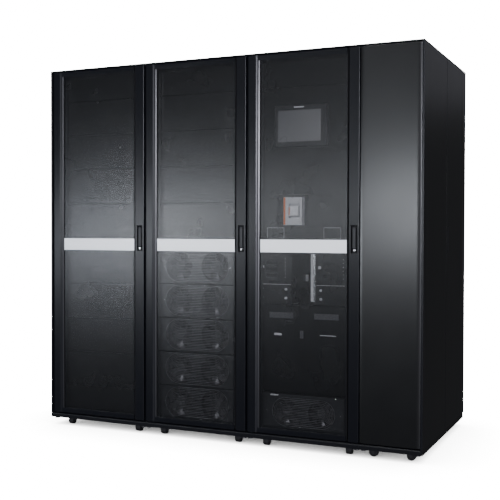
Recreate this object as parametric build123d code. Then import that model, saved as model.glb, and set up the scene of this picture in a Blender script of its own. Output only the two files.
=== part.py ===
"""A row of four modular power supply cabinets: battery, power, input and output, and a narrow side cabinet.

X runs along the row, Y from the front to the back and Z up. The origin is on the floor under the
middle of the row. Each cabinet has a base, four posts, a roof and a rear panel. The three wide
cabinets have a hinged door of perforated sheet, and behind it the front plates of what they hold:
battery shelves, power modules with two fans each, a display, a breaker, two control units and a
bypass module. Everything is in millimetres.
"""

from build123d import *
import os
from math import cos, radians, sin

# Row
cabinet_height = 1991.0
row_depth = 1000.0
wide_cabinet = 600.0
narrow_cabinet = 300.0
cabinet_gap = 0.8
side_panel_thickness = 10.0
ground_clearance = 50.0

# Frame of a cabinet
door_zone = 50.0
base_height = 42.0
roof_height = 51.0
roof_sheet = 5.0
rail_width = 50.0
floor_sheet = 3.0
post_flange = 75.0
post_depth = 55.0
post_sheet = 8.0
skirt_height = 18.0
skirt_setback = 2.0
skirt_rounding = 8.0
skirt_lip_drop = 8.0
skirt_lip_thickness = 8.0
cable_plate_length = 300.0
cable_plate_width = 110.0
cable_plate_thickness = 3.0
cable_plate_spacing = 260.0

# Rear and side panels
rear_panel_depth = 20.0
rear_panel_margin = 2.0
rear_rim = 45.0
rear_sheet = 1.5
rear_sheet_inset = 8.0
rear_rim_bevel = 2.0
rear_sheet_overlap = 6.0
side_panel_joint = 3.0
side_panel_split = 2.0
side_panel_bevel = 1.2
side_pull_width = 34.0
side_pull_height = 140.0
side_pull_depth = 6.0
side_pull_offset = 18.0
side_pull_rim = 3.0
side_pull_middle = 1056.0

# Doors
door_thickness = 30.0
door_gap_hinge = 5.0
door_gap_lock = 2.0
door_gap_vertical = 5.0
hinge_from_edge = 24.0
hinge_from_face = 10.0
hinge_pin_radius = 4.0
hinge_pin_clearance = 0.1
hinge_pin_length = 15.0
hinge_bore_extra = 3.0
hinge_stile_flat = 45.0
reveal_width = 26.0
reveal_depth = 11.5
reveal_bulge_place = 0.5
reveal_bulge_drop = 0.45
lock_stile_width = 52.0
shadow_slot = 13.0
shadow_slot_floor = 4.0
door_rail_height = 26.0
door_rail_setback = 5.0
mesh_sheet = 1.5
mesh_overlap = 9.0
mesh_clearance = 0.2
edge_rounding = 3.0
band_height = 66.0
band_thickness = 4.5
band_middle = 1021.0
band_bevel = 1.2

# Swing handle of a door
handle_width = 34.0
handle_height = 138.0
handle_depth = 22.0
handle_middle = 1057.0
handle_wall = 2.5
handle_fit = 0.2
lever_width = 17.0
lever_thickness = 11.0
lever_length = 98.0
lever_from_face = 1.0
lever_bevel = 1.2
lever_pivot_from_top = 15.0
lever_pin_radius = 2.5
lever_pin_clearance = 0.1
lock_radius = 5.5
lock_from_bottom = 14.0
lock_from_face = 3.0

# Front plates behind the doors
plate_side_margin = 60.0
plate_thickness = 12.0
plate_gap = 3.0
plates_bottom = 93.0
plates_below_top = 29.0
top_plate_height = 147.0
shelf_pitch = 190.0
shelf_joints_above = 1055.0
shelf_joints_below = 990.0
raised_side_margin = 56.0
raised_step = 3.0

# Power modules and the bypass module
module_pitch = 181.0
module_count = 5
module_post_clearance = 5.0
module_rear_space = 130.0
module_body_margin = 3.0
fan_spacing = 210.0
fan_well_radius = 78.0
fan_well_depth = 52.0
guard_radius = 82.0
guard_thickness = 3.0
guard_rim = 5.0
guard_pitch = 40.0
guard_rib = 4.0
guard_bridge = 6.0
guard_flats = 8
rotor_radius = 72.0
rotor_from_face = 11.0
rotor_depth = 26.0
hub_radius = 28.0
hub_bore_depth = 14.0
blade_count = 7
blade_thickness = 2.4
blade_root_chord = 26.0
blade_tip_chord = 40.0
blade_pitch_angle = 32.0
blade_seat = 3.0
shaft_radius = 4.0
spindle_sides = 6
shaft_clearance = 0.1
shaft_end_gap = 1.0
bypass_height = 183.0
bypass_fan_spacing = 190.0
bypass_fan_rise = 90.0
bypass_scale = 0.88
bypass_rear_space = 330.0

# Display
display_from_middle = -15.0
display_width = 278.0
display_space_share = 0.235
display_height = 207.0
display_depth = 12.0
screen_left = 18.0
screen_width = 227.0
screen_bottom = 26.0
screen_height = 155.0
screen_inset = 2.0
screen_thickness = 4.0
display_bevel = 4.0

# Breaker
breaker_window_width = 296.0
breaker_window_height = 165.0
breaker_space_share = 0.155
breaker_window_depth = 40.0
breaker_window_wall = 3.0
breaker_left = 37.0
breaker_bottom = 11.0
breaker_width = 99.0
breaker_height = 140.0
breaker_depth = 38.0
breaker_bevel = 1.2
toggle_slot_width = 62.0
toggle_slot_height = 74.0
toggle_slot_depth = 32.0
toggle_slot_left = 28.0
toggle_width = 50.0
toggle_height = 48.0
toggle_bevel = 3.0
toggle_drum_radius = 12.0
toggle_reach = 28.0
toggle_pin_radius = 3.0
toggle_pin_clearance = 0.1
toggle_axis_depth = 14.0
toggle_pin_seat = 1.0

# Control units in their bay
bay_bottom = 727.0
bay_top = 987.0
bay_depth = 250.0
bay_sheet = 3.0
bay_post_clearance = 3.0
control_gap = 132.0
control_body_margin = 24.0
control_margin = 2.0
control_plate_thickness = 9.0
rail_strip_width = 10.0
rail_strip_from_control = 5.0
rail_strip_bottom = 15.0
control_step_height = 98.0
control_step_depth = 3.0

# Connection cover under the control units
cover_bottom = 286.0
cover_top = 724.0
grip_gap = 110.0
grip_side_margin = 40.0
grip_height = 45.0
grip_depth = 28.0
grip_wall = 3.0
grip_bottom = 642.0
grip_slot = 14.0
grip_lip_setback = 1.0
latch_width = 28.0
latch_height = 44.0
latch_bottom = 546.0
latch_step = 3.0

# Narrow cabinet's front panel
panel_edge_width = 23.0
panel_edge_step = 5.0
panel_gap = 2.0
panel_stud_size = 16.0
panel_stud_inset = 60.0

# Castors and levelling feet
wheel_radius = 22.0
wheel_width = 30.0
axle_head_radius = 6.0
axle_head = 3.0
axle_head_sides = 6
castor_plate = 46.0
castor_plate_thickness = 4.0
castor_leg = 2.5
castor_leg_gap = 0.3
castor_leg_height = 10.0
castor_left_inset = 95.0
castor_right_inset = 64.0
narrow_castor_inset = 57.0
castor_from_front = 20.0
castor_trail = 10.0
foot_inset = 17.0
foot_from_front = 25.0
foot_from_rear = 22.0
foot_pad_radius = 14.0
foot_pad_height = 7.0
foot_stem_radius = 6.0
foot_drop = 16.0
foot_sides = 6

# Places worked out from the sizes above
front = -row_depth / 2
rear = row_depth / 2
frame_front = front + door_zone
frame_rear = rear - rear_panel_depth
plate_front = frame_front - plate_thickness
base_bottom = ground_clearance
base_top = base_bottom + base_height
roof_underside = cabinet_height - roof_sheet
roof_frame_bottom = cabinet_height - roof_height
skirt_top = base_bottom + skirt_height
door_bottom = skirt_top + door_gap_vertical
door_top = roof_underside - door_gap_vertical
row_width = 3 * wide_cabinet + narrow_cabinet
battery_left = -row_width / 2
power_left = battery_left + wide_cabinet
io_left = power_left + wide_cabinet
side_left = io_left + wide_cabinet
row_right = side_left + narrow_cabinet
mesh_back = front + reveal_depth + mesh_sheet
plates_top = cabinet_height - plates_below_top
module_body_depth = frame_rear - frame_front - module_rear_space
bypass_body_depth = frame_rear - frame_front - bypass_rear_space
plate_width = wide_cabinet - 2 * plate_side_margin
raised_width = plate_width - 2 * raised_side_margin
between_posts = wide_cabinet - 2 * post_flange
module_body_width = between_posts - 2 * module_post_clearance
bay_width = between_posts - 2 * bay_post_clearance
control_width = (plate_width - control_gap) / 2
grip_width = between_posts / 2 - grip_side_margin - grip_gap / 2
grip_from_middle = (grip_gap + grip_width) / 2
display_left = wide_cabinet / 2 + display_from_middle - display_width / 2
top_joint = plates_top - top_plate_height
io_free_height = top_joint - shelf_joints_above - breaker_window_height - display_height
breaker_window_bottom = shelf_joints_above + breaker_space_share * io_free_height
display_bottom = top_joint - display_space_share * io_free_height - display_height

cabinets = [
    ("battery", battery_left, wide_cabinet),
    ("power", power_left, wide_cabinet),
    ("io", io_left, wide_cabinet),
    ("side", side_left, narrow_cabinet),
]
door_cabinets = [("battery", battery_left), ("power", power_left), ("io", io_left)]


def block(x0, x1, y0, y1, z0, z1):
    """A box between two corners."""
    size = Box(x1 - x0, y1 - y0, z1 - z0)
    return Pos((x0 + x1) / 2, (y0 + y1) / 2, (z0 + z1) / 2) * size


def rod_y(x, z, y0, y1, radius):
    """A round bar along Y."""
    return Pos(x, (y0 + y1) / 2, z) * Rot(90, 0, 0) * Cylinder(radius, y1 - y0)


def rod_x(y, z, x0, x1, radius):
    """A round bar along X."""
    return Pos((x0 + x1) / 2, y, z) * Rot(0, 90, 0) * Cylinder(radius, x1 - x0)


def rod_z(x, y, z0, z1, radius):
    """A round bar along Z."""
    return Pos(x, y, (z0 + z1) / 2) * Cylinder(radius, z1 - z0)


def facing_front(x, y, z):
    """A sketch plane that faces the front, with its own X along the row and its own Y up."""
    return Plane(origin=(x, y, z), x_dir=(1, 0, 0), z_dir=(0, -1, 0))


# Frames of the cabinets


def hinge_axis(left):
    """Where a door's hinge axis stands, in X and Y."""
    return left + door_gap_hinge + hinge_from_edge, front + hinge_from_face


def base_frame(name, left, width):
    """A base: a ring of rails on a floor sheet, with a rounded skirt under the door and a lip below."""
    x0, x1 = left + cabinet_gap / 2, left + width - cabinet_gap / 2
    ring = block(x0, x1, frame_front, frame_rear, base_bottom, base_top)
    ring -= block(
        x0 + rail_width,
        x1 - rail_width,
        frame_front + rail_width,
        frame_rear - rail_width,
        base_bottom + floor_sheet,
        base_top,
    )
    skirt = block(x0, x1, front + skirt_setback, frame_front, base_bottom, skirt_top)
    nose = skirt.edges().filter_by(Axis.X).group_by(Axis.Y)[0].sort_by(Axis.Z)[-1]
    skirt = fillet(nose, skirt_rounding)
    lip_front = front + skirt_setback
    lip_back = lip_front + skirt_lip_thickness
    lip = block(x0, x1, lip_front, lip_back, base_bottom - skirt_lip_drop, base_bottom)
    base = ring + skirt + lip
    if name == "battery":
        base += side_skirt(left - side_panel_thickness, x0)
    if name == "side":
        base += side_skirt(x1, left + width + side_panel_thickness)
    if name != "side":
        x, y = hinge_axis(left)
        top = door_bottom + hinge_pin_length
        base += rod_z(x, y, skirt_top - skirt_rounding, top, hinge_pin_radius)
    return base


def side_skirt(x0, x1):
    """The strip that closes the base under the side panels."""
    bottom = base_bottom - skirt_lip_drop
    return block(x0, x1, front + skirt_setback, frame_rear, bottom, skirt_top)


def posts(left, width):
    """Four folded corner posts that stand on the base and carry the roof."""
    x0, x1 = left + cabinet_gap / 2, left + width - cabinet_gap / 2
    flange = min(post_flange, width / 3)
    made = []
    for x, across in ((x0, 1), (x1, -1)):
        for y, inward in ((frame_front, 1), (frame_rear, -1)):
            section = Polyline(
                (x, y),
                (x + across * flange, y),
                (x + across * flange, y + inward * post_sheet),
                (x + across * post_sheet, y + inward * post_sheet),
                (x + across * post_sheet, y + inward * post_depth),
                (x, y + inward * post_depth),
                close=True,
            )
            height = roof_frame_bottom - base_top
            made.append(Pos(0, 0, base_top) * extrude(make_face(section), height, dir=(0, 0, 1)))
    return made


def roof(name, left, width):
    """A roof sheet that reaches over the door, on a ring of rails."""
    x0, x1 = left + cabinet_gap / 2, left + width - cabinet_gap / 2
    ring = block(x0, x1, frame_front, frame_rear, roof_frame_bottom, roof_underside)
    ring -= block(
        x0 + rail_width,
        x1 - rail_width,
        frame_front + rail_width,
        frame_rear - rail_width,
        roof_frame_bottom,
        roof_underside,
    )
    sheet_left = left - side_panel_thickness if name == "battery" else x0
    sheet_right = left + width + side_panel_thickness if name == "side" else x1
    sheet = block(sheet_left, sheet_right, front, rear, roof_underside, cabinet_height)
    made = ring + sheet
    if name != "side":
        x, y = hinge_axis(left)
        made += rod_z(x, y, door_top - hinge_pin_length, roof_underside, hinge_pin_radius)
    return made


def cable_plates(left, width):
    """Bolted plates over the cable entries in the roof, one towards the front and one the back."""
    middle = left + width / 2
    length = min(cable_plate_length, width - 2 * rail_width)
    made = []
    for y in (-cable_plate_spacing, cable_plate_spacing):
        plate = block(
            middle - length / 2,
            middle + length / 2,
            y - cable_plate_width / 2,
            y + cable_plate_width / 2,
            cabinet_height,
            cabinet_height + cable_plate_thickness,
        )
        made.append(plate)
    return made


def rear_panel(left, width):
    """The rim of a rear panel, with a rebate that holds its sheet."""
    x0, x1 = left + rear_panel_margin, left + width - rear_panel_margin
    z0, z1 = base_bottom + rear_panel_margin, roof_underside - rear_panel_margin
    rim = block(x0, x1, frame_rear, rear, z0, z1)
    rim = chamfer(rim.faces().sort_by(Axis.Y)[-1].edges(), rear_rim_bevel)
    opening = block(x0 + rear_rim, x1 - rear_rim, frame_rear, rear, z0 + rear_rim, z1 - rear_rim)
    rebate = rear_sheet_overlap + mesh_clearance
    rebate_box = block(
        x0 + rear_rim - rebate,
        x1 - rear_rim + rebate,
        frame_rear,
        rear - rear_sheet_inset,
        z0 + rear_rim - rebate,
        z1 - rear_rim + rebate,
    )
    return rim - opening - rebate_box


def rear_sheets(left, width):
    """The perforated sheet in a rear panel, against the back of its rim."""
    x0, x1 = left + rear_panel_margin, left + width - rear_panel_margin
    z0, z1 = base_bottom + rear_panel_margin, roof_underside - rear_panel_margin
    reach = rear_rim - rear_sheet_overlap
    y1 = rear - rear_sheet_inset
    return block(x0 + reach, x1 - reach, y1 - rear_sheet, y1, z0 + reach, z1 - reach)


def side_pull_box(grow=0.0):
    """The space of the flush pull in the rear half of the right side panel."""
    y0 = side_panel_split + side_panel_joint / 2 + side_pull_offset
    return block(
        row_right + side_panel_thickness - side_pull_depth - grow,
        row_right + side_panel_thickness,
        y0 - grow,
        y0 + side_pull_width + grow,
        side_pull_middle - side_pull_height / 2 - grow,
        side_pull_middle + side_pull_height / 2 + grow,
    )


def side_panels():
    """Four panels, two on each end of the row, split at the middle of the depth."""
    made = []
    z0, z1 = skirt_top, roof_underside
    front_half = (front, side_panel_split - side_panel_joint / 2)
    rear_half = (side_panel_split + side_panel_joint / 2, rear)
    for x0, outward in ((battery_left - side_panel_thickness, -1), (row_right, 1)):
        for y0, y1 in (front_half, rear_half):
            panel = block(x0, x0 + side_panel_thickness, y0, y1, z0, z1)
            outer = panel.faces().sort_by(Axis.X)[-1 if outward > 0 else 0]
            panel = chamfer(outer.edges().filter_by(Axis.Z), side_panel_bevel)
            if outward > 0 and y0 > 0:
                panel -= side_pull_box()
            made.append(panel)
    return made


def side_pull():
    """A flush pull with a raised grip, let into the side panel."""
    cup = side_pull_box()
    cup -= side_pull_box(-side_pull_rim)
    bounds = side_pull_box().bounding_box()
    grip = block(
        bounds.min.X,
        bounds.max.X,
        bounds.min.Y + 3 * side_pull_rim,
        bounds.max.Y - 4 * side_pull_rim,
        bounds.min.Z + side_pull_rim,
        bounds.max.Z - side_pull_rim,
    )
    return cup + grip


# Doors


def door_edges(left):
    """The left and right edge of a door."""
    return left + door_gap_hinge, left + wide_cabinet - door_gap_lock


def mesh_span(left):
    """The left and right edge of the perforated sheet that shows in a door."""
    x0, x1 = door_edges(left)
    return x0 + hinge_stile_flat + reveal_width, x1 - lock_stile_width - shadow_slot


def hinge_stile(left):
    """The stile with a curved reveal that runs down to the sheet."""
    x0 = door_edges(left)[0]
    back = front + door_thickness
    ledge = mesh_span(left)[0]
    lower = front + reveal_depth
    outline = [
        Line((x0, back), (x0, front + hinge_from_face)),
        RadiusArc((x0, front + hinge_from_face), (x0 + hinge_from_face, front), hinge_from_face),
        Line((x0 + hinge_from_face, front), (x0 + hinge_stile_flat, front)),
        ThreePointArc(
            (x0 + hinge_stile_flat, front),
            (
                x0 + hinge_stile_flat + reveal_bulge_place * reveal_width,
                front + reveal_bulge_drop * reveal_depth,
            ),
            (ledge, lower),
        ),
        Line((ledge, lower), (ledge, mesh_back)),
        Line((ledge, mesh_back), (ledge + mesh_overlap, mesh_back)),
        Line((ledge + mesh_overlap, mesh_back), (ledge + mesh_overlap, back)),
        Line((ledge + mesh_overlap, back), (x0, back)),
    ]
    section = make_face(Wire(outline))
    return Pos(0, 0, door_bottom) * extrude(section, door_top - door_bottom, dir=(0, 0, 1))


def lock_stile(left):
    """The stile with the handle, the ledge that holds the sheet's edge, and a groove between them."""
    x1 = door_edges(left)[1]
    back = front + door_thickness
    stile = block(x1 - lock_stile_width, x1, front, back, door_bottom, door_top)
    corners = stile.edges().filter_by(Axis.Z).group_by(Axis.Y)[0].sort_by(Axis.X)
    stile = fillet(corners[-1], edge_rounding)
    sheet_edge = mesh_span(left)[1]
    ledge = block(
        sheet_edge - mesh_overlap, x1 - lock_stile_width, mesh_back, back, door_bottom, door_top
    )
    groove = block(
        sheet_edge,
        x1 - lock_stile_width,
        mesh_back,
        back - shadow_slot_floor,
        door_bottom,
        door_top,
    )
    return stile + ledge - groove


def door_rails(left):
    """The rails across the top and the bottom, a little behind the stiles' faces."""
    x0 = door_edges(left)[0] + hinge_stile_flat
    x1 = mesh_span(left)[1]
    back = front + door_thickness
    made = []
    for z0, z1, ledge0, ledge1 in (
        (door_bottom, door_bottom + door_rail_height, 0, mesh_overlap),
        (door_top - door_rail_height, door_top, -mesh_overlap, 0),
    ):
        bar = block(x0, x1, front + door_rail_setback, back, z0, z1)
        ledge = block(x0, x1, mesh_back, back, z0 + ledge0, z1 + ledge1)
        made.append(bar + ledge)
    return made[0] + made[1]


def handle_box(left, grow=0.0):
    """The space of the handle's cup in the lock stile."""
    middle = door_edges(left)[1] - lock_stile_width / 2
    return block(
        middle - handle_width / 2 - grow,
        middle + handle_width / 2 + grow,
        front,
        front + handle_depth + grow,
        handle_middle - handle_height / 2 - grow,
        handle_middle + handle_height / 2 + grow,
    )


def door_frame(left):
    """A door without its sheet: two stiles, two rails, the hinge bores and the handle's pocket."""
    x, y = hinge_axis(left)
    bore = hinge_pin_radius + hinge_pin_clearance
    depth = hinge_pin_length + hinge_bore_extra
    frame = hinge_stile(left) + lock_stile(left) + door_rails(left)
    frame -= rod_z(x, y, door_bottom, door_bottom + depth, bore)
    frame -= rod_z(x, y, door_top - depth, door_top, bore)
    frame -= handle_box(left, handle_fit)
    return frame


def door_mesh(left):
    """The perforated sheet, seated on the ledges all round. Its holes are too many to model."""
    x0, x1 = mesh_span(left)
    return block(
        x0 + mesh_clearance,
        x1,
        front + reveal_depth,
        mesh_back,
        door_bottom + door_rail_height + mesh_clearance,
        door_top - door_rail_height - mesh_clearance,
    )


def door_band(left):
    """The bright band across the middle of a door, fixed to the sheet."""
    x0, x1 = mesh_span(left)
    y1 = front + reveal_depth
    band = block(
        x0 + 2 * mesh_clearance,
        x1 - mesh_clearance,
        y1 - band_thickness,
        y1,
        band_middle - band_height / 2,
        band_middle + band_height / 2,
    )
    face = band.faces().sort_by(Axis.Y)[0]
    return chamfer(face.edges(), band_bevel)


def lever_axis():
    """Where the lever's pivot lies, in Y and Z."""
    y = front + lever_from_face + lever_thickness / 2
    z = handle_middle + handle_height / 2 - lever_pivot_from_top
    return y, z


def handle_cup(left):
    """The cup of a swing handle, with the lever's pin and a round lock at its foot."""
    bounds = handle_box(left).bounding_box()
    cup = handle_box(left)
    cup -= block(
        bounds.min.X + handle_wall,
        bounds.max.X - handle_wall,
        front,
        bounds.max.Y - handle_wall,
        bounds.min.Z + handle_wall,
        bounds.max.Z - handle_wall,
    )
    y, z = lever_axis()
    cup += rod_x(y, z, bounds.min.X + handle_wall / 2, bounds.max.X - handle_wall / 2, lever_pin_radius)
    middle = (bounds.min.X + bounds.max.X) / 2
    lock_z = bounds.min.Z + lock_from_bottom
    cup += rod_y(middle, lock_z, front + lock_from_face, bounds.max.Y - handle_wall / 2, lock_radius)
    return cup


def handle_lever(left):
    """The lever: a tapered bar that swings out about its pin at the top."""
    bounds = handle_box(left).bounding_box()
    middle = (bounds.min.X + bounds.max.X) / 2
    y, z = lever_axis()
    half = lever_thickness / 2
    bar = block(
        middle - lever_width / 2,
        middle + lever_width / 2,
        y - half,
        y + half,
        z - lever_length,
        z,
    )
    tip = bar.faces().sort_by(Axis.Z)[0].edges().filter_by(Axis.X).sort_by(Axis.Y)[-1]
    bar = chamfer(tip, half)
    sides = bar.faces().sort_by(Axis.Y)[0].edges().filter_by(Axis.Z)
    bar = chamfer(sides, lever_bevel)
    barrel = rod_x(y, z, middle - lever_width / 2, middle + lever_width / 2, half)
    bore = rod_x(y, z, bounds.min.X, bounds.max.X, lever_pin_radius + lever_pin_clearance)
    return bar + barrel - bore


# Front plates


def front_plate(left, z0, z1):
    """A plain plate on the posts, with a field in its middle that stands a little proud."""
    middle = left + wide_cabinet / 2
    plate = block(
        middle - plate_width / 2, middle + plate_width / 2, plate_front, frame_front, z0, z1
    )
    field = block(
        middle - raised_width / 2,
        middle + raised_width / 2,
        plate_front - raised_step,
        plate_front,
        z0,
        z1,
    )
    return plate + field


def shelf_joints(start, end):
    """The joints from one height to another, a shelf pitch apart. The last shelf takes what is left."""
    count = max(1, round(abs(end - start) / shelf_pitch))
    step = shelf_pitch if end > start else -shelf_pitch
    return [start + n * step for n in range(count)] + [end]


def rows_above():
    """The lower and upper edge of each plate above the doors' bands."""
    joints = shelf_joints(shelf_joints_above, plates_top + plate_gap / 2)
    return [(low + plate_gap / 2, high - plate_gap / 2) for low, high in zip(joints, joints[1:])]


def rows_below():
    """The lower and upper edge of each plate below the doors' bands."""
    joints = shelf_joints(shelf_joints_below, plates_bottom - plate_gap / 2)
    return [(low + plate_gap / 2, high - plate_gap / 2) for high, low in zip(joints, joints[1:])]


def middle_row():
    """The lower and upper edge of the plate behind the doors' bands."""
    return shelf_joints_below + plate_gap / 2, shelf_joints_above - plate_gap / 2


def battery_covers():
    """The covers of the battery shelves, from top to bottom."""
    rows = rows_above() + [middle_row()] + rows_below()
    return [front_plate(battery_left, z0, z1) for z0, z1 in rows]


def blank_covers():
    """The blank plates over the empty bays above the power modules."""
    modules_top = plates_bottom + module_count * module_pitch
    rows = rows_above() + [(modules_top + plate_gap / 2, shelf_joints_above - plate_gap / 2)]
    return [front_plate(power_left, z0, z1) for z0, z1 in rows]


# Modules with fans


def prism_y(x, z, y0, y1, radius, sides):
    """A bar along Y with a few flat sides."""
    return extrude(facing_front(x, y1, z) * RegularPolygon(radius, sides), y1 - y0)


def racetrack(middle, y, z, spacing, radius):
    """A face with two rounded ends of a few flats each, seen from the front."""
    turns = [radians(90 - n * 180 / guard_flats) for n in range(guard_flats + 1)]
    right = [(spacing / 2 + radius * cos(turn), radius * sin(turn)) for turn in turns]
    left = [(-across, -up) for across, up in right]
    return facing_front(middle, y, z) * make_face(Polyline(*right, *left, close=True))


def fan_module(left, z0, z1, fan_z, spacing, scale, body_depth):
    """A module: its front plate and housing, with a well and a hexagonal spindle for each fan."""
    middle = left + wide_cabinet / 2
    half = plate_width / 2
    body_half = module_body_width / 2
    module = block(middle - half, middle + half, plate_front, frame_front, z0, z1)
    module += block(
        middle - body_half,
        middle + body_half,
        frame_front,
        frame_front + body_depth,
        z0 + module_body_margin,
        z1 - module_body_margin,
    )
    well_back = plate_front + fan_well_depth
    spindle_front = plate_front + rotor_from_face + rotor_depth - hub_bore_depth + shaft_end_gap
    for x in (middle - spacing / 2, middle + spacing / 2):
        module -= rod_y(x, fan_z, plate_front, well_back, fan_well_radius * scale)
        module += prism_y(x, fan_z, spindle_front, well_back, shaft_radius, spindle_sides)
    return module


def fan_guard(left, fan_z, spacing, scale):
    """A guard of nested oval ribs over both fans, on the plate's face, held together by bridges."""
    middle = left + wide_cabinet / 2
    outer = guard_radius * scale
    rim = outer - guard_rim
    guard = extrude(racetrack(middle, plate_front, fan_z, spacing, outer), guard_thickness)
    slots = Part()
    ribs = int(rim // guard_pitch)
    for n in range(ribs + 1):
        wide = min(rim, (n + 1) * guard_pitch - guard_rib / 2)
        narrow = n * guard_pitch + guard_rib / 2
        ring = extrude(racetrack(middle, plate_front, fan_z, spacing, wide), guard_thickness)
        if n > 0:
            ring -= extrude(racetrack(middle, plate_front, fan_z, spacing, narrow), guard_thickness)
        slots += ring
    bridges = block(
        middle - spacing / 2 - guard_bridge / 2,
        middle - spacing / 2 + guard_bridge / 2,
        plate_front - guard_thickness,
        plate_front,
        fan_z - rim,
        fan_z + rim,
    )
    bridges += Pos(spacing, 0, 0) * bridges
    bridges += block(
        middle - spacing / 2 - rim,
        middle + spacing / 2 + rim,
        plate_front - guard_thickness,
        plate_front,
        fan_z - guard_rib / 2,
        fan_z + guard_rib / 2,
    )
    return guard - (slots - bridges)


def fan_blade(scale):
    """A flat blade along X that widens towards its tip, pitched about its own length."""
    root = hub_radius * scale - blade_seat
    tip = rotor_radius * scale
    outline = Polyline(
        (root, -blade_root_chord * scale / 2),
        (tip, -blade_tip_chord * scale / 2),
        (tip, blade_tip_chord * scale / 2),
        (root, blade_root_chord * scale / 2),
        close=True,
    )
    blade = extrude(make_face(outline), blade_thickness / 2, both=True)
    return Rot(90 + blade_pitch_angle, 0, 0) * blade


def fan_rotor(x, z, scale):
    """A fan rotor: a hub with a flat for each blade, a blind bore for its spindle, and pitched blades."""
    y0 = plate_front + rotor_from_face
    y1 = y0 + rotor_depth
    rotor = prism_y(0, 0, y0, y1, hub_radius * scale, 2 * blade_count)
    blade = Pos(0, (y0 + y1) / 2, 0) * fan_blade(scale)
    for n in range(blade_count):
        rotor += Rot(0, (n + 0.5) * 360 / blade_count, 0) * blade
    rotor -= rod_y(0, 0, y1 - hub_bore_depth, y1, shaft_radius + shaft_clearance)
    return Pos(x, 0, z) * rotor


def module_rows():
    """The lower and upper edge of each power module, from the top one down."""
    rows = []
    for n in range(module_count):
        z1 = plates_bottom + (module_count - n) * module_pitch
        rows.append((z1 - module_pitch + plate_gap / 2, z1 - plate_gap / 2))
    return rows


def fan_places():
    """The middle of each fan, in X and Z, with its size."""
    places = []
    power_middle = power_left + wide_cabinet / 2
    io_middle = io_left + wide_cabinet / 2
    for z0, z1 in module_rows():
        for side in (-1, 1):
            places.append((power_middle + side * fan_spacing / 2, (z0 + z1) / 2, 1.0))
    for side in (-1, 1):
        x = io_middle + side * bypass_fan_spacing / 2
        places.append((x, plates_bottom + plate_gap / 2 + bypass_fan_rise, bypass_scale))
    return places


def power_modules():
    """The five power modules."""
    return [
        fan_module(power_left, z0, z1, (z0 + z1) / 2, fan_spacing, 1.0, module_body_depth)
        for z0, z1 in module_rows()
    ]


def bypass_module():
    """The bypass module at the foot of the input and output cabinet."""
    z0 = plates_bottom + plate_gap / 2
    z1 = z0 + bypass_height
    fan_z = z0 + bypass_fan_rise
    return fan_module(io_left, z0, z1, fan_z, bypass_fan_spacing, bypass_scale, bypass_body_depth)


def fan_guards():
    """One guard on each power module and one on the bypass module."""
    made = [fan_guard(power_left, (z0 + z1) / 2, fan_spacing, 1.0) for z0, z1 in module_rows()]
    fan_z = plates_bottom + plate_gap / 2 + bypass_fan_rise
    made.append(fan_guard(io_left, fan_z, bypass_fan_spacing, bypass_scale))
    return made


# Input and output cabinet


def io_plates():
    """The plain plate at the top, and the long plate that carries the display and the breaker."""
    top = front_plate(io_left, top_joint + plate_gap / 2, plates_top)
    middle = io_left + wide_cabinet / 2
    z0, z1 = shelf_joints_above + plate_gap / 2, top_joint - plate_gap / 2
    long = block(
        middle - plate_width / 2, middle + plate_width / 2, plate_front, frame_front, z0, z1
    )
    low = breaker_window_bottom
    high = breaker_window_bottom + breaker_window_height
    half = breaker_window_width / 2
    tub = block(
        middle - half - breaker_window_wall,
        middle + half + breaker_window_wall,
        frame_front,
        plate_front + breaker_window_depth + breaker_window_wall,
        low - breaker_window_wall,
        high + breaker_window_wall,
    )
    pocket = block(middle - half, middle + half, plate_front, plate_front + breaker_window_depth, low, high)
    return [top, long + tub - pocket]


def display_unit():
    """The display's housing, with a step all round its screen."""
    x0 = io_left + display_left
    housing = block(
        x0,
        x0 + display_width,
        plate_front - display_depth,
        plate_front,
        display_bottom,
        display_bottom + display_height,
    )
    housing = chamfer(housing.faces().sort_by(Axis.Y)[0].edges(), display_bevel)
    return housing - screen_box(mesh_clearance, display_depth)


def screen_box(grow, reach):
    """The space of the screen in the display's housing."""
    x0 = io_left + display_left + screen_left
    z0 = display_bottom + screen_bottom
    y0 = plate_front - display_depth + screen_inset
    return block(
        x0 - grow,
        x0 + screen_width + grow,
        y0 - reach,
        y0 + screen_thickness,
        z0 - grow,
        z0 + screen_height + grow,
    )


def display_screen():
    """The screen, set back from the housing's face."""
    return screen_box(0, 0)


def breaker_corner():
    """The breaker's lower left corner, in X and Z, and its face."""
    x = io_left + wide_cabinet / 2 - breaker_window_width / 2 + breaker_left
    z = breaker_window_bottom + breaker_bottom
    face = plate_front + breaker_window_depth - breaker_depth
    return x, z, face


def toggle_axis():
    """Where the toggle's pivot lies, in Y and Z."""
    x, z, face = breaker_corner()
    return face + toggle_axis_depth, z + breaker_height / 2


def breaker():
    """The breaker's case, with a slot and a pin for its toggle."""
    x, z, face = breaker_corner()
    case = block(x, x + breaker_width, face, plate_front + breaker_window_depth, z, z + breaker_height)
    case = chamfer(case.faces().sort_by(Axis.Y)[0].edges(), breaker_bevel)
    slot_x = x + toggle_slot_left
    middle = z + breaker_height / 2
    case -= block(
        slot_x,
        slot_x + toggle_slot_width,
        face,
        face + toggle_slot_depth,
        middle - toggle_slot_height / 2,
        middle + toggle_slot_height / 2,
    )
    y, pin_z = toggle_axis()
    pin_ends = (slot_x - toggle_pin_seat, slot_x + toggle_slot_width + toggle_pin_seat)
    case += rod_x(y, pin_z, *pin_ends, toggle_pin_radius)
    return case


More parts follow.
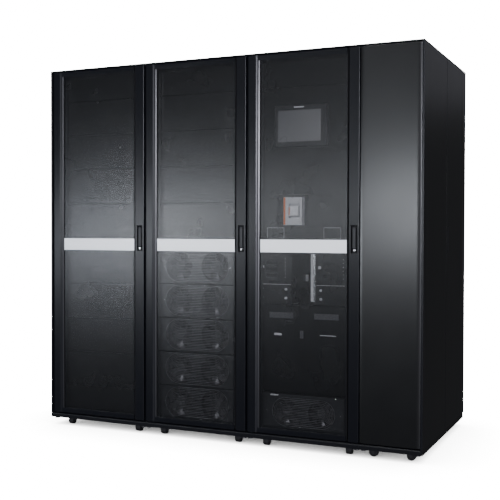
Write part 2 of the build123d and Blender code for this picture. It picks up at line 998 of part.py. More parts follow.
def breaker_toggle():
    """The breaker's toggle: a block on a drum that turns on the pin."""
    x, z, face = breaker_corner()
    y, pin_z = toggle_axis()
    middle = x + toggle_slot_left + toggle_slot_width / 2
    x0, x1 = middle - toggle_width / 2, middle + toggle_width / 2
    drum = rod_x(y, pin_z, x0, x1, toggle_drum_radius)
    paddle = block(x0, x1, y - toggle_reach, y, pin_z - toggle_height / 2, pin_z + toggle_height / 2)
    corners = paddle.faces().sort_by(Axis.Y)[0].edges().filter_by(Axis.X)
    paddle = chamfer(corners, toggle_bevel)
    toggle = paddle + drum
    return toggle - rod_x(y, pin_z, x0, x1, toggle_pin_radius + toggle_pin_clearance)


def control_bay():
    """The open bay of the control units: a box with ears that sit on the posts."""
    middle = io_left + wide_cabinet / 2
    half = bay_width / 2
    ear_front = frame_front - bay_sheet
    bay = block(middle - half, middle + half, ear_front, frame_front + bay_depth, bay_bottom, bay_top)
    bay -= block(
        middle - half + bay_sheet,
        middle + half - bay_sheet,
        ear_front,
        frame_front + bay_depth - bay_sheet,
        bay_bottom + bay_sheet,
        bay_top - bay_sheet,
    )
    ears = block(
        middle - plate_width / 2, middle + plate_width / 2, ear_front, frame_front, bay_bottom, bay_top
    )
    ears -= block(middle - half, middle + half, ear_front, frame_front, bay_bottom, bay_top)
    return bay + ears


def control_unit(x0, body_x0, body_x1):
    """A control unit: a front plate in two steps on a housing that reaches the back of the bay."""
    floor = bay_bottom + bay_sheet
    ear_front = frame_front - bay_sheet
    z1 = bay_top - bay_sheet - control_margin
    plate_back = plate_front + control_plate_thickness
    plate = block(x0, x0 + control_width, plate_front, plate_back, floor, z1)
    plate -= block(
        x0,
        x0 + control_width,
        plate_front,
        plate_front + control_step_depth,
        floor + control_step_height,
        z1,
    )
    body = block(body_x0, body_x1, plate_back, frame_front + bay_depth - bay_sheet, floor, z1)
    return plate + body


def control_units():
    """The two control units, one on each side of the bay."""
    left = io_left + plate_side_margin
    right = io_left + wide_cabinet - plate_side_margin - control_width
    return [
        control_unit(left, left + control_body_margin, left + control_width),
        control_unit(right, right + bay_sheet, right + control_width - control_body_margin),
    ]


def bay_rail():
    """The bright upright rail beside the right control unit."""
    right = io_left + wide_cabinet - plate_side_margin - control_width
    x1 = right - rail_strip_from_control
    floor = bay_bottom + bay_sheet
    upright = block(
        x1 - rail_strip_width,
        x1,
        plate_front,
        frame_front,
        floor + rail_strip_bottom,
        bay_top - bay_sheet - control_margin,
    )
    foot = block(x1 - bay_sheet, x1, plate_front, frame_front, floor, floor + rail_strip_bottom)
    return upright + foot


def connection_cover():
    """The plate over the power connections, with two grips and a latch."""
    middle = io_left + wide_cabinet / 2
    cover = block(
        middle - plate_width / 2,
        middle + plate_width / 2,
        plate_front,
        frame_front,
        cover_bottom,
        cover_top,
    )
    for side in (-1, 1):
        x = middle + side * grip_from_middle
        cover += block(
            x - grip_width / 2 - grip_wall,
            x + grip_width / 2 + grip_wall,
            frame_front,
            plate_front + grip_depth + grip_wall,
            grip_bottom - grip_wall,
            grip_bottom + grip_height + grip_wall,
        )
        cover -= block(
            x - grip_width / 2,
            x + grip_width / 2,
            plate_front,
            plate_front + grip_depth,
            grip_bottom,
            grip_bottom + grip_height,
        )
        cover += block(
            x - grip_width / 2,
            x + grip_width / 2,
            plate_front + grip_lip_setback,
            plate_front + grip_lip_setback + grip_wall,
            grip_bottom + grip_slot,
            grip_bottom + grip_height,
        )
    latch = block(
        middle - latch_width / 2,
        middle + latch_width / 2,
        plate_front - latch_step,
        plate_front,
        latch_bottom,
        latch_bottom + latch_height,
    )
    return cover + latch


def side_front_panel():
    """The narrow cabinet's fixed front: a panel with lowered edges, on four studs."""
    x0, x1 = side_left + panel_gap, row_right - panel_gap
    back = front + door_thickness
    low = front + panel_edge_step
    outline = Polyline(
        (x0, back),
        (x0, low),
        (x0 + panel_edge_width, front),
        (x1 - panel_edge_width, front),
        (x1, low),
        (x1, back),
        close=True,
    )
    panel = Pos(0, 0, door_bottom) * extrude(make_face(outline), door_top - door_bottom, dir=(0, 0, 1))
    inset = panel_stud_inset
    for x in (side_left + rail_width, row_right - rail_width):
        for z in (door_bottom + inset, door_top - inset):
            half = panel_stud_size / 2
            panel += block(x - half, x + half, back, frame_front, z - half, z + half)
    return panel


# Castors and feet


def castor(x, y, along_x, trail):
    """A castor's plate and fork with its axle's heads, for a wheel that rolls along X or along Y."""
    plate_top = base_bottom
    plate_bottom = plate_top - castor_plate_thickness
    plate = Box(castor_plate, castor_plate, castor_plate_thickness)
    fork = Pos(0, 0, (plate_top + plate_bottom) / 2) * plate
    axle_z = wheel_radius
    inner = wheel_width / 2 + castor_leg_gap
    for side in (-1, 1):
        leg_x = side * (inner + castor_leg / 2)
        leg = Pos(leg_x, trail, (plate_bottom + axle_z - castor_leg_height / 2) / 2) * Box(
            castor_leg, wheel_radius, plate_bottom - axle_z + castor_leg_height / 2
        )
        head_x = side * (inner + castor_leg + axle_head / 2)
        hexagon = Plane.YZ * RegularPolygon(axle_head_radius, axle_head_sides)
        head = extrude(hexagon, axle_head / 2, both=True)
        fork += leg + Pos(head_x, trail, axle_z) * head
    return Pos(x, y, 0) * Rot(0, 0, 90 if along_x else 0) * fork


def castor_wheel(x, y, along_x, trail):
    """A castor's wheel, close between the fork's legs and solid round its axle."""
    wheel = Pos(0, trail, wheel_radius) * Rot(0, 90, 0) * Cylinder(wheel_radius, wheel_width)
    turned = Rot(0, 0, 90 if along_x else 0) * wheel
    return Pos(x, y, 0) * turned


def castor_places():
    """The middle of each castor's plate, whether it rolls along X, and its trail."""
    places = []
    for name, left, width in cabinets:
        narrow = name == "side"
        left_inset = narrow_castor_inset if narrow else castor_left_inset
        right_inset = narrow_castor_inset if narrow else castor_right_inset
        for x in (left + left_inset, left + width - right_inset):
            for y, trail in (
                (frame_front + castor_from_front, -castor_trail),
                (frame_rear - castor_from_front, castor_trail),
            ):
                turned = narrow and y < 0
                places.append((x + trail if turned else x, y, turned, trail))
    return places


def levelling_foot(x, y):
    """A levelling foot, screwed up clear of the floor."""
    bottom = base_bottom - foot_drop
    foot = extrude(Plane.XY * RegularPolygon(foot_pad_radius, foot_sides), foot_pad_height)
    stem = extrude(Plane.XY * RegularPolygon(foot_stem_radius, foot_sides), foot_drop)
    return Pos(x, y, bottom) * (foot + stem)


def levelling_feet():
    """A levelling foot at each corner of each cabinet."""
    made = []
    for name, left, width in cabinets:
        for x in (left + foot_inset, left + width - foot_inset):
            for y in (front + foot_from_front, frame_rear - foot_from_rear):
                made.append(levelling_foot(x, y))
    return made


def save(name, *solids):
    """Writes one sub-part."""
    pieces = []
    for piece in solids:
        pieces.extend(piece.solids())
    shape = pieces[0] if len(pieces) == 1 else Compound(children=pieces)
    export_step(shape, f"parts/{name}.step")


os.makedirs("parts", exist_ok=True)

save("base_frames", *[base_frame(*cabinet) for cabinet in cabinets])
save("frame_posts", *[post for name, left, width in cabinets for post in posts(left, width)])
save("roof_panels", *[roof(*cabinet) for cabinet in cabinets])
save("cable_entry_plates", *[p for name, left, width in cabinets for p in cable_plates(left, width)])
save("rear_panel_rims", *[rear_panel(left, width) for name, left, width in cabinets])
save("rear_sheets", *[rear_sheets(left, width) for name, left, width in cabinets])
save("side_panels", *side_panels())
save("side_pull", side_pull())
save("castor_forks", *[castor(*place) for place in castor_places()])
save("castor_wheels", *[castor_wheel(*place) for place in castor_places()])
save("levelling_feet", *levelling_feet())
save("side_front_panel", side_front_panel())

for name, left in door_cabinets:
    save(f"{name}_door_frame", door_frame(left))
    save(f"{name}_door_mesh", door_mesh(left))
    save(f"{name}_door_band", door_band(left))
    save(f"{name}_handle_cup", handle_cup(left))
    save(f"{name}_handle_lever", handle_lever(left))

save("battery_covers", *battery_covers())
save("blank_covers", *blank_covers())
save("power_modules", *power_modules())
save("bypass_module", bypass_module())
save("fan_guards", *fan_guards())
for number, (x, z, scale) in enumerate(fan_places(), 1):
    save(f"fan_{number}", fan_rotor(x, z, scale))

save("io_plates", *io_plates())
save("display_unit", display_unit())
save("display_screen", display_screen())
save("breaker", breaker())
save("breaker_toggle", breaker_toggle())
save("control_bay", control_bay())
save("control_units", *control_units())
save("bay_rail", bay_rail())
save("connection_cover", connection_cover())
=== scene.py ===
"""A row of four data centre power cabinets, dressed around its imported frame.

Three wide cabinets have doors of perforated sheet with a bright band, and behind them battery
shelves, power modules with fans, a display, a breaker and control units. A narrow cabinet closes
the row on the right. All sizes are in metres: MM turns millimetres into them.
"""

import logging
import math
from dataclasses import dataclass
from enum import Enum
from itertools import product

import bmesh
import bpy
from mathutils import Matrix, Vector


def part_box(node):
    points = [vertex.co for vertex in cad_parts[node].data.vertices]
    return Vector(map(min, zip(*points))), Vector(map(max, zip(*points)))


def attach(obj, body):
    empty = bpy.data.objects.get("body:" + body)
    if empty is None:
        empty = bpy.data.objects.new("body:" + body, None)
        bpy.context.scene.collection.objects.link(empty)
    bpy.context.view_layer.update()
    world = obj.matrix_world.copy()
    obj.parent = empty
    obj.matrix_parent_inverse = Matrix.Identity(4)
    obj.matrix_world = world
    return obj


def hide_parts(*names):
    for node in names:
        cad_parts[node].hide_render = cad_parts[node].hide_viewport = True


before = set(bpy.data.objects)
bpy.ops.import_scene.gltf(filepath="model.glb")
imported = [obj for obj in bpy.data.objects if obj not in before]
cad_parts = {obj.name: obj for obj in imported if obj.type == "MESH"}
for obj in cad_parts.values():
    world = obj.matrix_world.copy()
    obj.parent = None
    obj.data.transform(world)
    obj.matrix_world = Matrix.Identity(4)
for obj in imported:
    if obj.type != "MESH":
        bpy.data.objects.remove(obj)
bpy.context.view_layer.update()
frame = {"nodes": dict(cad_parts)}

log = logging.getLogger("cabinets")

MM = 0.001
# How far the raised field of a plate stands in front of its rim.
FIELD_RISE = 3.0 * MM
FRONTWARDS = Vector((0.0, -1.0, 0.0))
REARWARDS = Vector((0.0, 1.0, 0.0))
UPWARDS = Vector((0.0, 0.0, 1.0))

Colour = tuple[float, float, float]
Number = float | int


class Body(Enum):
    """The moving parts that pieces ride on."""

    CABINETS = "cabinets"
    TOGGLE = "toggle"


class Cabinet(Enum):
    """The three wide cabinets, by what they hold."""

    BATTERY = "battery"
    POWER = "power"
    IO = "io"

    @property
    def door(self) -> str:
        """The body of this cabinet's door."""
        return f"{self.value}_door"

    @property
    def handle(self) -> str:
        """The body of this cabinet's handle lever."""
        return f"{self.value}_handle"


class Signal:
    """A socket in a shader's node tree that takes part in arithmetic."""

    def __init__(self, tree: "ShaderTree", socket: bpy.types.NodeSocket | None) -> None:
        """Keeps the tree, which makes the maths nodes, and the socket.

        Args:
            tree: the tree that the socket belongs to.
            socket: an output socket, or nothing for a node without outputs.
        """
        self.tree = tree
        self.socket = socket

    def _join(self, operation: str, first: "Operand", second: "Operand") -> "Signal":
        """Adds one maths node.

        Args:
            operation: the node's operation.
            first: its first value or link.
            second: its second value or link.

        Returns:
            The node's result.
        """
        linked = [side for side in (first, second) if isinstance(side, Signal)]
        if any(side.socket.type in {"VECTOR", "RGBA"} for side in linked):
            first, second = (
                side if isinstance(side, (Signal, tuple)) else (side, side, side)
                for side in (first, second)
            )
            kind = "ShaderNodeVectorMath"
        else:
            kind = "ShaderNodeMath"
        return self.tree.node(kind, {"operation": operation}, {0: first, 1: second})

    def __add__(self, other: "Operand") -> "Signal":
        """This plus another."""
        return self._join("ADD", self, other)

    def __radd__(self, other: "Operand") -> "Signal":
        """Another plus this."""
        return self._join("ADD", other, self)

    def __sub__(self, other: "Operand") -> "Signal":
        """This minus another."""
        return self._join("SUBTRACT", self, other)

    def __rsub__(self, other: "Operand") -> "Signal":
        """Another minus this."""
        return self._join("SUBTRACT", other, self)

    def __mul__(self, other: "Operand") -> "Signal":
        """This times another."""
        return self._join("MULTIPLY", self, other)

    def __rmul__(self, other: "Operand") -> "Signal":
        """Another times this."""
        return self._join("MULTIPLY", other, self)

    def __truediv__(self, other: "Operand") -> "Signal":
        """This divided by another."""
        return self._join("DIVIDE", self, other)

    def __gt__(self, other: "Operand") -> "Signal":
        """1 where this is over another, or else 0."""
        return self._join("GREATER_THAN", self, other)

    def smaller(self, other: "Operand") -> "Signal":
        """The smaller of this and another."""
        return self._join("MINIMUM", self, other)

    def fraction(self) -> "Signal":
        """What is left of this over a whole number."""
        return self._join("FRACT", self, 0.0)

    def power(self, exponent: "Operand") -> "Signal":
        """This raised to a power."""
        return self._join("POWER", self, exponent)


Operand = Signal | Number | tuple


class ShaderTree:
    """The node tree of a material, with methods that add nodes to it."""

    def __init__(self, name: str) -> None:
        """Makes a material with an empty tree.

        Args:
            name: the material's name.
        """
        self.material = bpy.data.materials.new(name)
        self.material.use_nodes = True
        self.nodes = self.material.node_tree.nodes
        self.links = self.material.node_tree.links
        self.nodes.clear()

    def feed(self, socket: bpy.types.NodeSocket, value: Operand) -> None:
        """Sets or links an input socket.

        Args:
            socket: the input.
            value: a number, a tuple of numbers, or a link.
        """
        if isinstance(value, Signal):
            self.links.new(value.socket, socket)
        elif socket.type == "RGBA" and len(value) == 3:
            socket.default_value = (*value, 1.0)
        else:
            socket.default_value = value

    def node(
        self,
        kind: str,
        settings: dict[str, object] | None = None,
        inputs: dict[str | int, Operand] | None = None,
        output: str | int = 0,
    ) -> Signal:
        """Adds a node of any type.

        Args:
            kind: the node's type.
            settings: its settings by name.
            inputs: values or links by socket.
            output: which output to give back.

        Returns:
            That output.
        """
        made = self.nodes.new(kind)
        for key, value in (settings or {}).items():
            setattr(made, key, value)
        for key, value in (inputs or {}).items():
            self.feed(made.inputs[key], value)
        return Signal(self, made.outputs[output] if made.outputs else None)

    def place(self, scale: tuple[float, float, float] = (1.0, 1.0, 1.0)) -> Signal:
        """The point on the piece, in metres, stretched by a scale."""
        point = self.node("ShaderNodeTexCoord", output="Object")
        return point if scale == (1.0, 1.0, 1.0) else point * scale

    def axis(self, vector: Signal, name: str) -> Signal:
        """One number of a vector, by the name X, Y or Z."""
        return self.node("ShaderNodeSeparateXYZ", {}, {0: vector}, name)

    def noise(self, vector: Signal, scale: float, detail: float = 2.0) -> Signal:
        """Smooth noise from 0 to 1.

        Args:
            vector: where to read it.
            scale: cells to the metre.
            detail: how many finer layers are added.

        Returns:
            The noise.
        """
        inputs = {"Vector": vector, "Scale": scale, "Detail": detail}
        return self.node("ShaderNodeTexNoise", {}, inputs)

    def blend(self, share: Operand, first: Operand, second: Operand) -> Signal:
        """A mix of two colours.

        Args:
            share: 0 for the first, 1 for the second.
            first: a colour.
            second: a colour.

        Returns:
            The mixed colour.
        """
        settings = {"data_type": "RGBA"}
        return self.node("ShaderNodeMix", settings, {0: share, 6: first, 7: second}, 2)

    def bump(self, height: Signal, distance: float, strength: float) -> Signal:
        """A normal that a height bends.

        Args:
            height: the height, from 0 to 1.
            distance: how deep a height of 1 is, in metres.
            strength: how much of it shows.

        Returns:
            The normal.
        """
        inputs = {"Height": height, "Distance": distance, "Strength": strength}
        return self.node("ShaderNodeBump", {}, inputs)

    def surface(self, inputs: dict[str | int, Operand]) -> bpy.types.Material:
        """Ends the tree in a principled surface.

        Args:
            inputs: its values and links.

        Returns:
            The finished material.
        """
        shader = self.node("ShaderNodeBsdfPrincipled", {}, inputs)
        self.node("ShaderNodeOutputMaterial", {}, {"Surface": shader})
        return self.material


@dataclass(frozen=True)
class Finish:
    """A surface finish. Each kind below gives its own material."""

    name: str
    colour: Colour

    def material(self) -> bpy.types.Material:
        """The finish as a material, made once."""
        found = bpy.data.materials.get(self.name)
        return found if found else self.make(ShaderTree(self.name))

    def shade(self, factor: float) -> Colour:
        """The finish's colour, darker for a factor under 1 and paler for one over it."""
        return tuple(channel * factor for channel in self.colour)

    def make(self, tree: ShaderTree) -> bpy.types.Material:
        """Fills the tree and gives back its material."""
        raise NotImplementedError


@dataclass(frozen=True)
class PowderCoat(Finish):
    """Satin powder coat: an even film with a fine orange peel and faint cloudiness."""

    roughness: float = 0.38
    gloss: float = 0.3
    peel_cells: float = 420.0
    peel_depth: float = 0.006 * MM
    cloud_cells: float = 6.0
    cloudiness: float = 0.03

    def coat(self, tree: ShaderTree) -> dict[str | int, Operand]:
        """The values and links of the coat, which other finishes build on.

        Args:
            tree: the tree to add nodes to.

        Returns:
            Inputs for a principled surface.
        """
        place = tree.place()
        cloud = tree.noise(place, self.cloud_cells)
        peel = tree.noise(place, self.peel_cells, 1.0)
        pale, dark = (self.shade(1 + side * 2 * self.cloudiness) for side in (1, -1))
        return {
            "Base Color": tree.blend(cloud, dark, pale),
            "Roughness": self.roughness + (cloud - 0.5) * self.cloudiness,
            "Specular IOR Level": self.gloss,
            "Normal": tree.bump(peel, self.peel_depth, 0.5),
        }

    def make(self, tree: ShaderTree) -> bpy.types.Material:
        """A material of the coat alone."""
        return tree.surface(self.coat(tree))


@dataclass(frozen=True)
class PerforatedSheet(PowderCoat):
    """Coated sheet with round holes in a hexagonal pattern."""

    pitch: float = 4.2 * MM
    hole: float = 3.6 * MM
    see_through: bool = True

    def holes(self, tree: ShaderTree, offset: float) -> Signal:
        """How far a point is from the middles of one of the two rows of holes, squared.

        Args:
            tree: the tree to add nodes to.
            offset: how far the row is shifted, as a share of the pattern.

        Returns:
            The squared distance, in pitches.
        """
        place = tree.place()
        across = (tree.axis(place, "X") / self.pitch + offset).fraction() - 0.5
        rise = (tree.axis(place, "Z") / (self.pitch * math.sqrt(3)) + offset).fraction() - 0.5
        return across * across + 3 * (rise * rise)

    def make(self, tree: ShaderTree) -> bpy.types.Material:
        """A material whose holes are clear, or painted black as shade where nothing behind them may
        show.
        """
        reach = (self.hole / self.pitch / 2) ** 2
        distance = self.holes(tree, 0.0).smaller(self.holes(tree, 0.5))
        metal = distance > reach
        coat = self.coat(tree)
        if self.see_through:
            coat["Alpha"] = metal
        else:
            # Holes painted black: painted shade for the dark inside behind a sheet that is not seen
            # through.
            coat["Base Color"] = tree.blend(metal, (0.001, 0.001, 0.001), coat["Base Color"])
            coat["Roughness"] = 1.0 - metal * (1 - self.roughness)
        return tree.surface(coat)


@dataclass(frozen=True)
class BrushedBand(Finish):
    """Brushed aluminium under clear lacquer, with its grain along the row."""

    roughness: float = 0.42
    grain_cells: float = 260.0
    grain_stretch: float = 0.012
    grain: float = 0.05
    metallic: float = 0.8

    def make(self, tree: ShaderTree) -> bpy.types.Material:
        """A material with long fine streaks."""
        place = tree.place((self.grain_stretch, 1.0, 1.0))
        streak = tree.noise(place, self.grain_cells, 3.0)
        return tree.surface({
            "Base Color": tree.blend(streak, self.shade(1 - 2 * self.grain), self.colour),
            "Roughness": self.roughness + (streak - 0.5) * (2 * self.grain),
            "Metallic": self.metallic,
            "Normal": tree.bump(streak, 0.02 * MM, 0.3),
        })


@dataclass(frozen=True)
class Moulding(Finish):
    """Moulded plastic with a fine spark-eroded grain."""

    roughness: float = 0.42
    gloss: float = 0.45
    grain_cells: float = 900.0
    grain_depth: float = 0.03 * MM
    grain_shade: float = 0.9
    grain_roughness: float = 0.12

    def make(self, tree: ShaderTree) -> bpy.types.Material:
        """A material with a fine grain."""
        grain = tree.noise(tree.place(), self.grain_cells, 2.0)
        return tree.surface({
            "Base Color": tree.blend(grain, self.shade(self.grain_shade), self.colour),
            "Roughness": self.roughness + (grain - 0.5) * self.grain_roughness,
            "Specular IOR Level": self.gloss,
            "Normal": tree.bump(grain, self.grain_depth, 0.4),
        })


@dataclass(frozen=True)
class ZincSteel(Finish):
    """Zinc plated steel with faint cloudy crystals."""

    roughness: float = 0.32
    crystal_cells: float = 220.0
    crystal_shade: float = 0.78
    crystal_roughness: float = 0.18

    def make(self, tree: ShaderTree) -> bpy.types.Material:
        """A metal material with cloudy crystals."""
        crystal = tree.noise(tree.place(), self.crystal_cells, 2.0)
        return tree.surface({
            "Base Color": tree.blend(crystal, self.shade(self.crystal_shade), self.colour),
            "Metallic": 0.9,
            "Roughness": self.roughness + (crystal - 0.5) * self.crystal_roughness,
        })


@dataclass(frozen=True)
class Rubber(Finish):
    """Dull moulded rubber."""

    roughness: float = 0.78
    grain_cells: float = 500.0
    grain_shade: float = 1.4
    grain_roughness: float = 0.1

    def make(self, tree: ShaderTree) -> bpy.types.Material:
        """A dull material with a soft grain."""
        grain = tree.noise(tree.place(), self.grain_cells, 3.0)
        return tree.surface({
            "Base Color": tree.blend(grain, self.colour, self.shade(self.grain_shade)),
            "Roughness": self.roughness - grain * self.grain_roughness,
            "Specular IOR Level": 0.25,
            "Normal": tree.bump(grain, 0.05 * MM, 0.4),
        })


@dataclass(frozen=True)
class DisplayGlass(Finish):
    """A lit but empty display behind glass, paler towards its lower right corner."""

    low: Colour = (0.2, 0.2, 0.21)
    left: float = 0.0
    bottom: float = 0.0
    width: float = 1.0
    height: float = 1.0

    def make(self, tree: ShaderTree) -> bpy.types.Material:
        """A glossy material whose glow changes slowly across it."""
        place = tree.place()
        across = (tree.axis(place, "X") - self.left) / self.width
        down = 1 - (tree.axis(place, "Z") - self.bottom) / self.height
        share = across * 0.6 + down * 0.4
        return tree.surface({
            "Base Color": self.colour,
            "Roughness": 0.08,
            "Coat Weight": 0.5,
            "Emission Color": tree.blend(share, self.colour, self.low),
            "Emission Strength": 0.55,
        })


@dataclass(frozen=True)
class Lamp(Finish):
    """A small status light, or a pale mark given a faint glow: painted light that makes it look lit."""

    strength: float = 0.6
    dust_cells: float = 700.0
    dust_shade: float = 0.75

    def make(self, tree: ShaderTree) -> bpy.types.Material:
        """A softly glowing material with a darker rim of dust."""
        dust = tree.noise(tree.place(), self.dust_cells, 1.0)
        return tree.surface({
            "Base Color": tree.blend(dust, self.shade(self.dust_shade), self.colour),
            "Roughness": 0.35,
            "Emission Color": self.colour,
            "Emission Strength": self.strength,
        })


class Palette:
    """Every finish of the row."""

    frame = PowderCoat("frame_coat", (0.004, 0.0043, 0.0055), roughness=0.32, gloss=0.26)
    door = PowderCoat("door_coat", (0.004, 0.0044, 0.006), roughness=0.26, gloss=0.24)
    panel = PowderCoat("panel_coat", (0.0025, 0.0027, 0.003), roughness=0.26, gloss=0.6)
    side = PowderCoat("side_coat", (0.004, 0.0044, 0.006), roughness=0.3, gloss=0.3)
    mesh = PerforatedSheet("door_perforation", (0.003, 0.0033, 0.004), roughness=0.27, gloss=0.85)
    # The rear sheet's holes are painted black, as painted shade for the dark inside.
    rear_mesh = PerforatedSheet(
        "rear_sheet", (0.05, 0.051, 0.055), roughness=0.34, gloss=0.5, see_through=False
    )
    plate = PowderCoat("plate_coat", (0.005, 0.0052, 0.006), roughness=0.26, gloss=0.75)
    bay_plate = PowderCoat("bay_coat", (0.004, 0.0042, 0.005), roughness=0.27, gloss=0.3)
    module = PowderCoat("module_coat", (0.02, 0.021, 0.023), roughness=0.27, gloss=0.8)
    band = BrushedBand("band_aluminium", (0.86, 0.865, 0.88))
    handle = Moulding("handle_moulding", (0.005, 0.005, 0.006), roughness=0.5, gloss=0.25)
    lever = Moulding("lever_moulding", (0.014, 0.014, 0.016), roughness=0.4, gloss=0.35)
    fan = Moulding("fan_moulding", (0.03, 0.03, 0.032), roughness=0.36, gloss=0.7)
    shroud = Moulding("shroud_moulding", (0.006, 0.006, 0.007), roughness=0.55, gloss=0.25)
    guard = ZincSteel("guard_wire", (0.36, 0.36, 0.37), roughness=0.4)
    bezel = Moulding("bezel_moulding", (0.012, 0.012, 0.014), roughness=0.3, gloss=0.5)
    breaker = Moulding("breaker_moulding", (0.62, 0.625, 0.63))
    toggle = Moulding("toggle_moulding", (0.9, 0.905, 0.91))
    accent = Moulding("orange_moulding", (0.72, 0.17, 0.02))
    strip = PowderCoat("strip_coat", (0.07, 0.071, 0.075), roughness=0.5)
    zinc = ZincSteel("zinc_steel", (0.72, 0.73, 0.75))
    bright = ZincSteel("bright_steel", (0.86, 0.87, 0.89), roughness=0.2)
    castor = PowderCoat("castor_coat", (0.008, 0.008, 0.009), roughness=0.4, gloss=0.4)
    tread = Rubber("castor_rubber", (0.006, 0.006, 0.0065))
    # Black foam for the door gaskets; the same finish colours strips of painted shade in the door
    # slots, by the sheets and in the module gaps.
    gasket = Rubber("foam_and_painted_shade", (0.002, 0.002, 0.0022), roughness=0.95)
    # The tags, label frames, control seams and knob glow faintly: painted light that makes them look
    # lit. Only the control lights are real lamps.
    tag = Lamp("bare_tag", (0.62, 0.63, 0.65), strength=0.1)
    signal = Lamp("status_light", (0.75, 0.9, 0.8), strength=1.2)


@dataclass(frozen=True)
class Extent:
    """An upright box between two corners."""

    low: Vector
    high: Vector

    @property
    def middle(self) -> Vector:
        """The point half way between the corners."""
        return (self.low + self.high) / 2

    @property
    def size(self) -> Vector:
        """The lengths of the sides."""
        return self.high - self.low


def extent(node: str) -> Extent:
    """The box of a node of the frame."""
    return Extent(*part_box(node))


def solids(node: str) -> list[Extent]:
    """Finds the separate solids of a node.

    Args:
        node: the node's name.

    Returns:
        The box of each solid, from left to right and then from the bottom up.
    """
    mesh = frame["nodes"][node].data
    places = [tuple(round(value, 5) for value in vertex.co) for vertex in mesh.vertices]
    parent = {place: place for place in places}

    def top(place: tuple) -> tuple:
        """The place that stands for all that are joined to this one."""
        while parent[place] != place:
            parent[place] = parent[parent[place]]
            place = parent[place]
        return place

    for edge in mesh.edges:
        first, second = (top(places[index]) for index in edge.vertices)
        parent[first] = second
    groups: dict[tuple, list[tuple]] = {}
    for place in parent:
        groups.setdefault(top(place), []).append(place)
    found = [
        Extent(Vector(map(min, zip(*group))), Vector(map(max, zip(*group))))
        for group in groups.values()
    ]
    return sorted(found, key=lambda box: (round(box.low.x, 3), round(box.low.z, 3), box.low.y))


class Shading:
    """A modifier that shades a piece smooth, apart from its sharp edges."""

    limit = math.radians(32)

    def __init__(self) -> None:
        """Makes the node group once for all pieces."""
        self.group = bpy.data.node_groups.new("smooth_shading", "GeometryNodeTree")
        self.group.interface.new_socket("Geometry", in_out="INPUT", socket_type="NodeSocketGeometry")
        self.group.interface.new_socket("Geometry", in_out="OUTPUT", socket_type="NodeSocketGeometry")
        nodes, links = self.group.nodes, self.group.links
        angle = nodes.new("GeometryNodeInputMeshEdgeAngle")
        blunt = nodes.new("ShaderNodeMath")
        blunt.operation = "LESS_THAN"
        blunt.inputs[1].default_value = self.limit
        edges, faces = (nodes.new("GeometryNodeSetShadeSmooth") for _ in range(2))
        edges.domain, faces.domain = "EDGE", "FACE"
        start, end = nodes.new("NodeGroupInput"), nodes.new("NodeGroupOutput")
        links.new(angle.outputs[0], blunt.inputs[0])
        links.new(start.outputs[0], faces.inputs["Geometry"])
        links.new(faces.outputs[0], edges.inputs["Geometry"])
        links.new(blunt.outputs[0], edges.inputs["Shade Smooth"])
        links.new(edges.outputs[0], end.inputs[0])

    def weld(self, piece: bpy.types.Object) -> None:
        """Joins the vertices that lie on each other."""
        piece.modifiers.new("weld", "WELD").merge_threshold = 0.005 * MM

    def round_edges(self, piece: bpy.types.Object, width: float) -> None:
        """Rounds the sharp edges of a piece.

        Args:
            piece: the piece.
            width: how wide the rounding is.
        """
        bevel = piece.modifiers.new("rounded_edges", "BEVEL")
        bevel.width = width
        bevel.segments = 2
        bevel.limit_method = "ANGLE"
        bevel.angle_limit = self.limit
        bevel.use_clamp_overlap = True

    def smooth(self, piece: bpy.types.Object) -> None:
        """Shades a piece smooth."""
        piece.modifiers.new("smooth", "NODES").node_group = self.group

    def flatten(self, piece: bpy.types.Object) -> None:
        """Lets the wide faces of a piece look flat up to their rounded edges."""
        weigh = piece.modifiers.new("flat_faces", "WEIGHTED_NORMAL")
        weigh.keep_sharp = True
        weigh.weight = 100


shading = Shading()


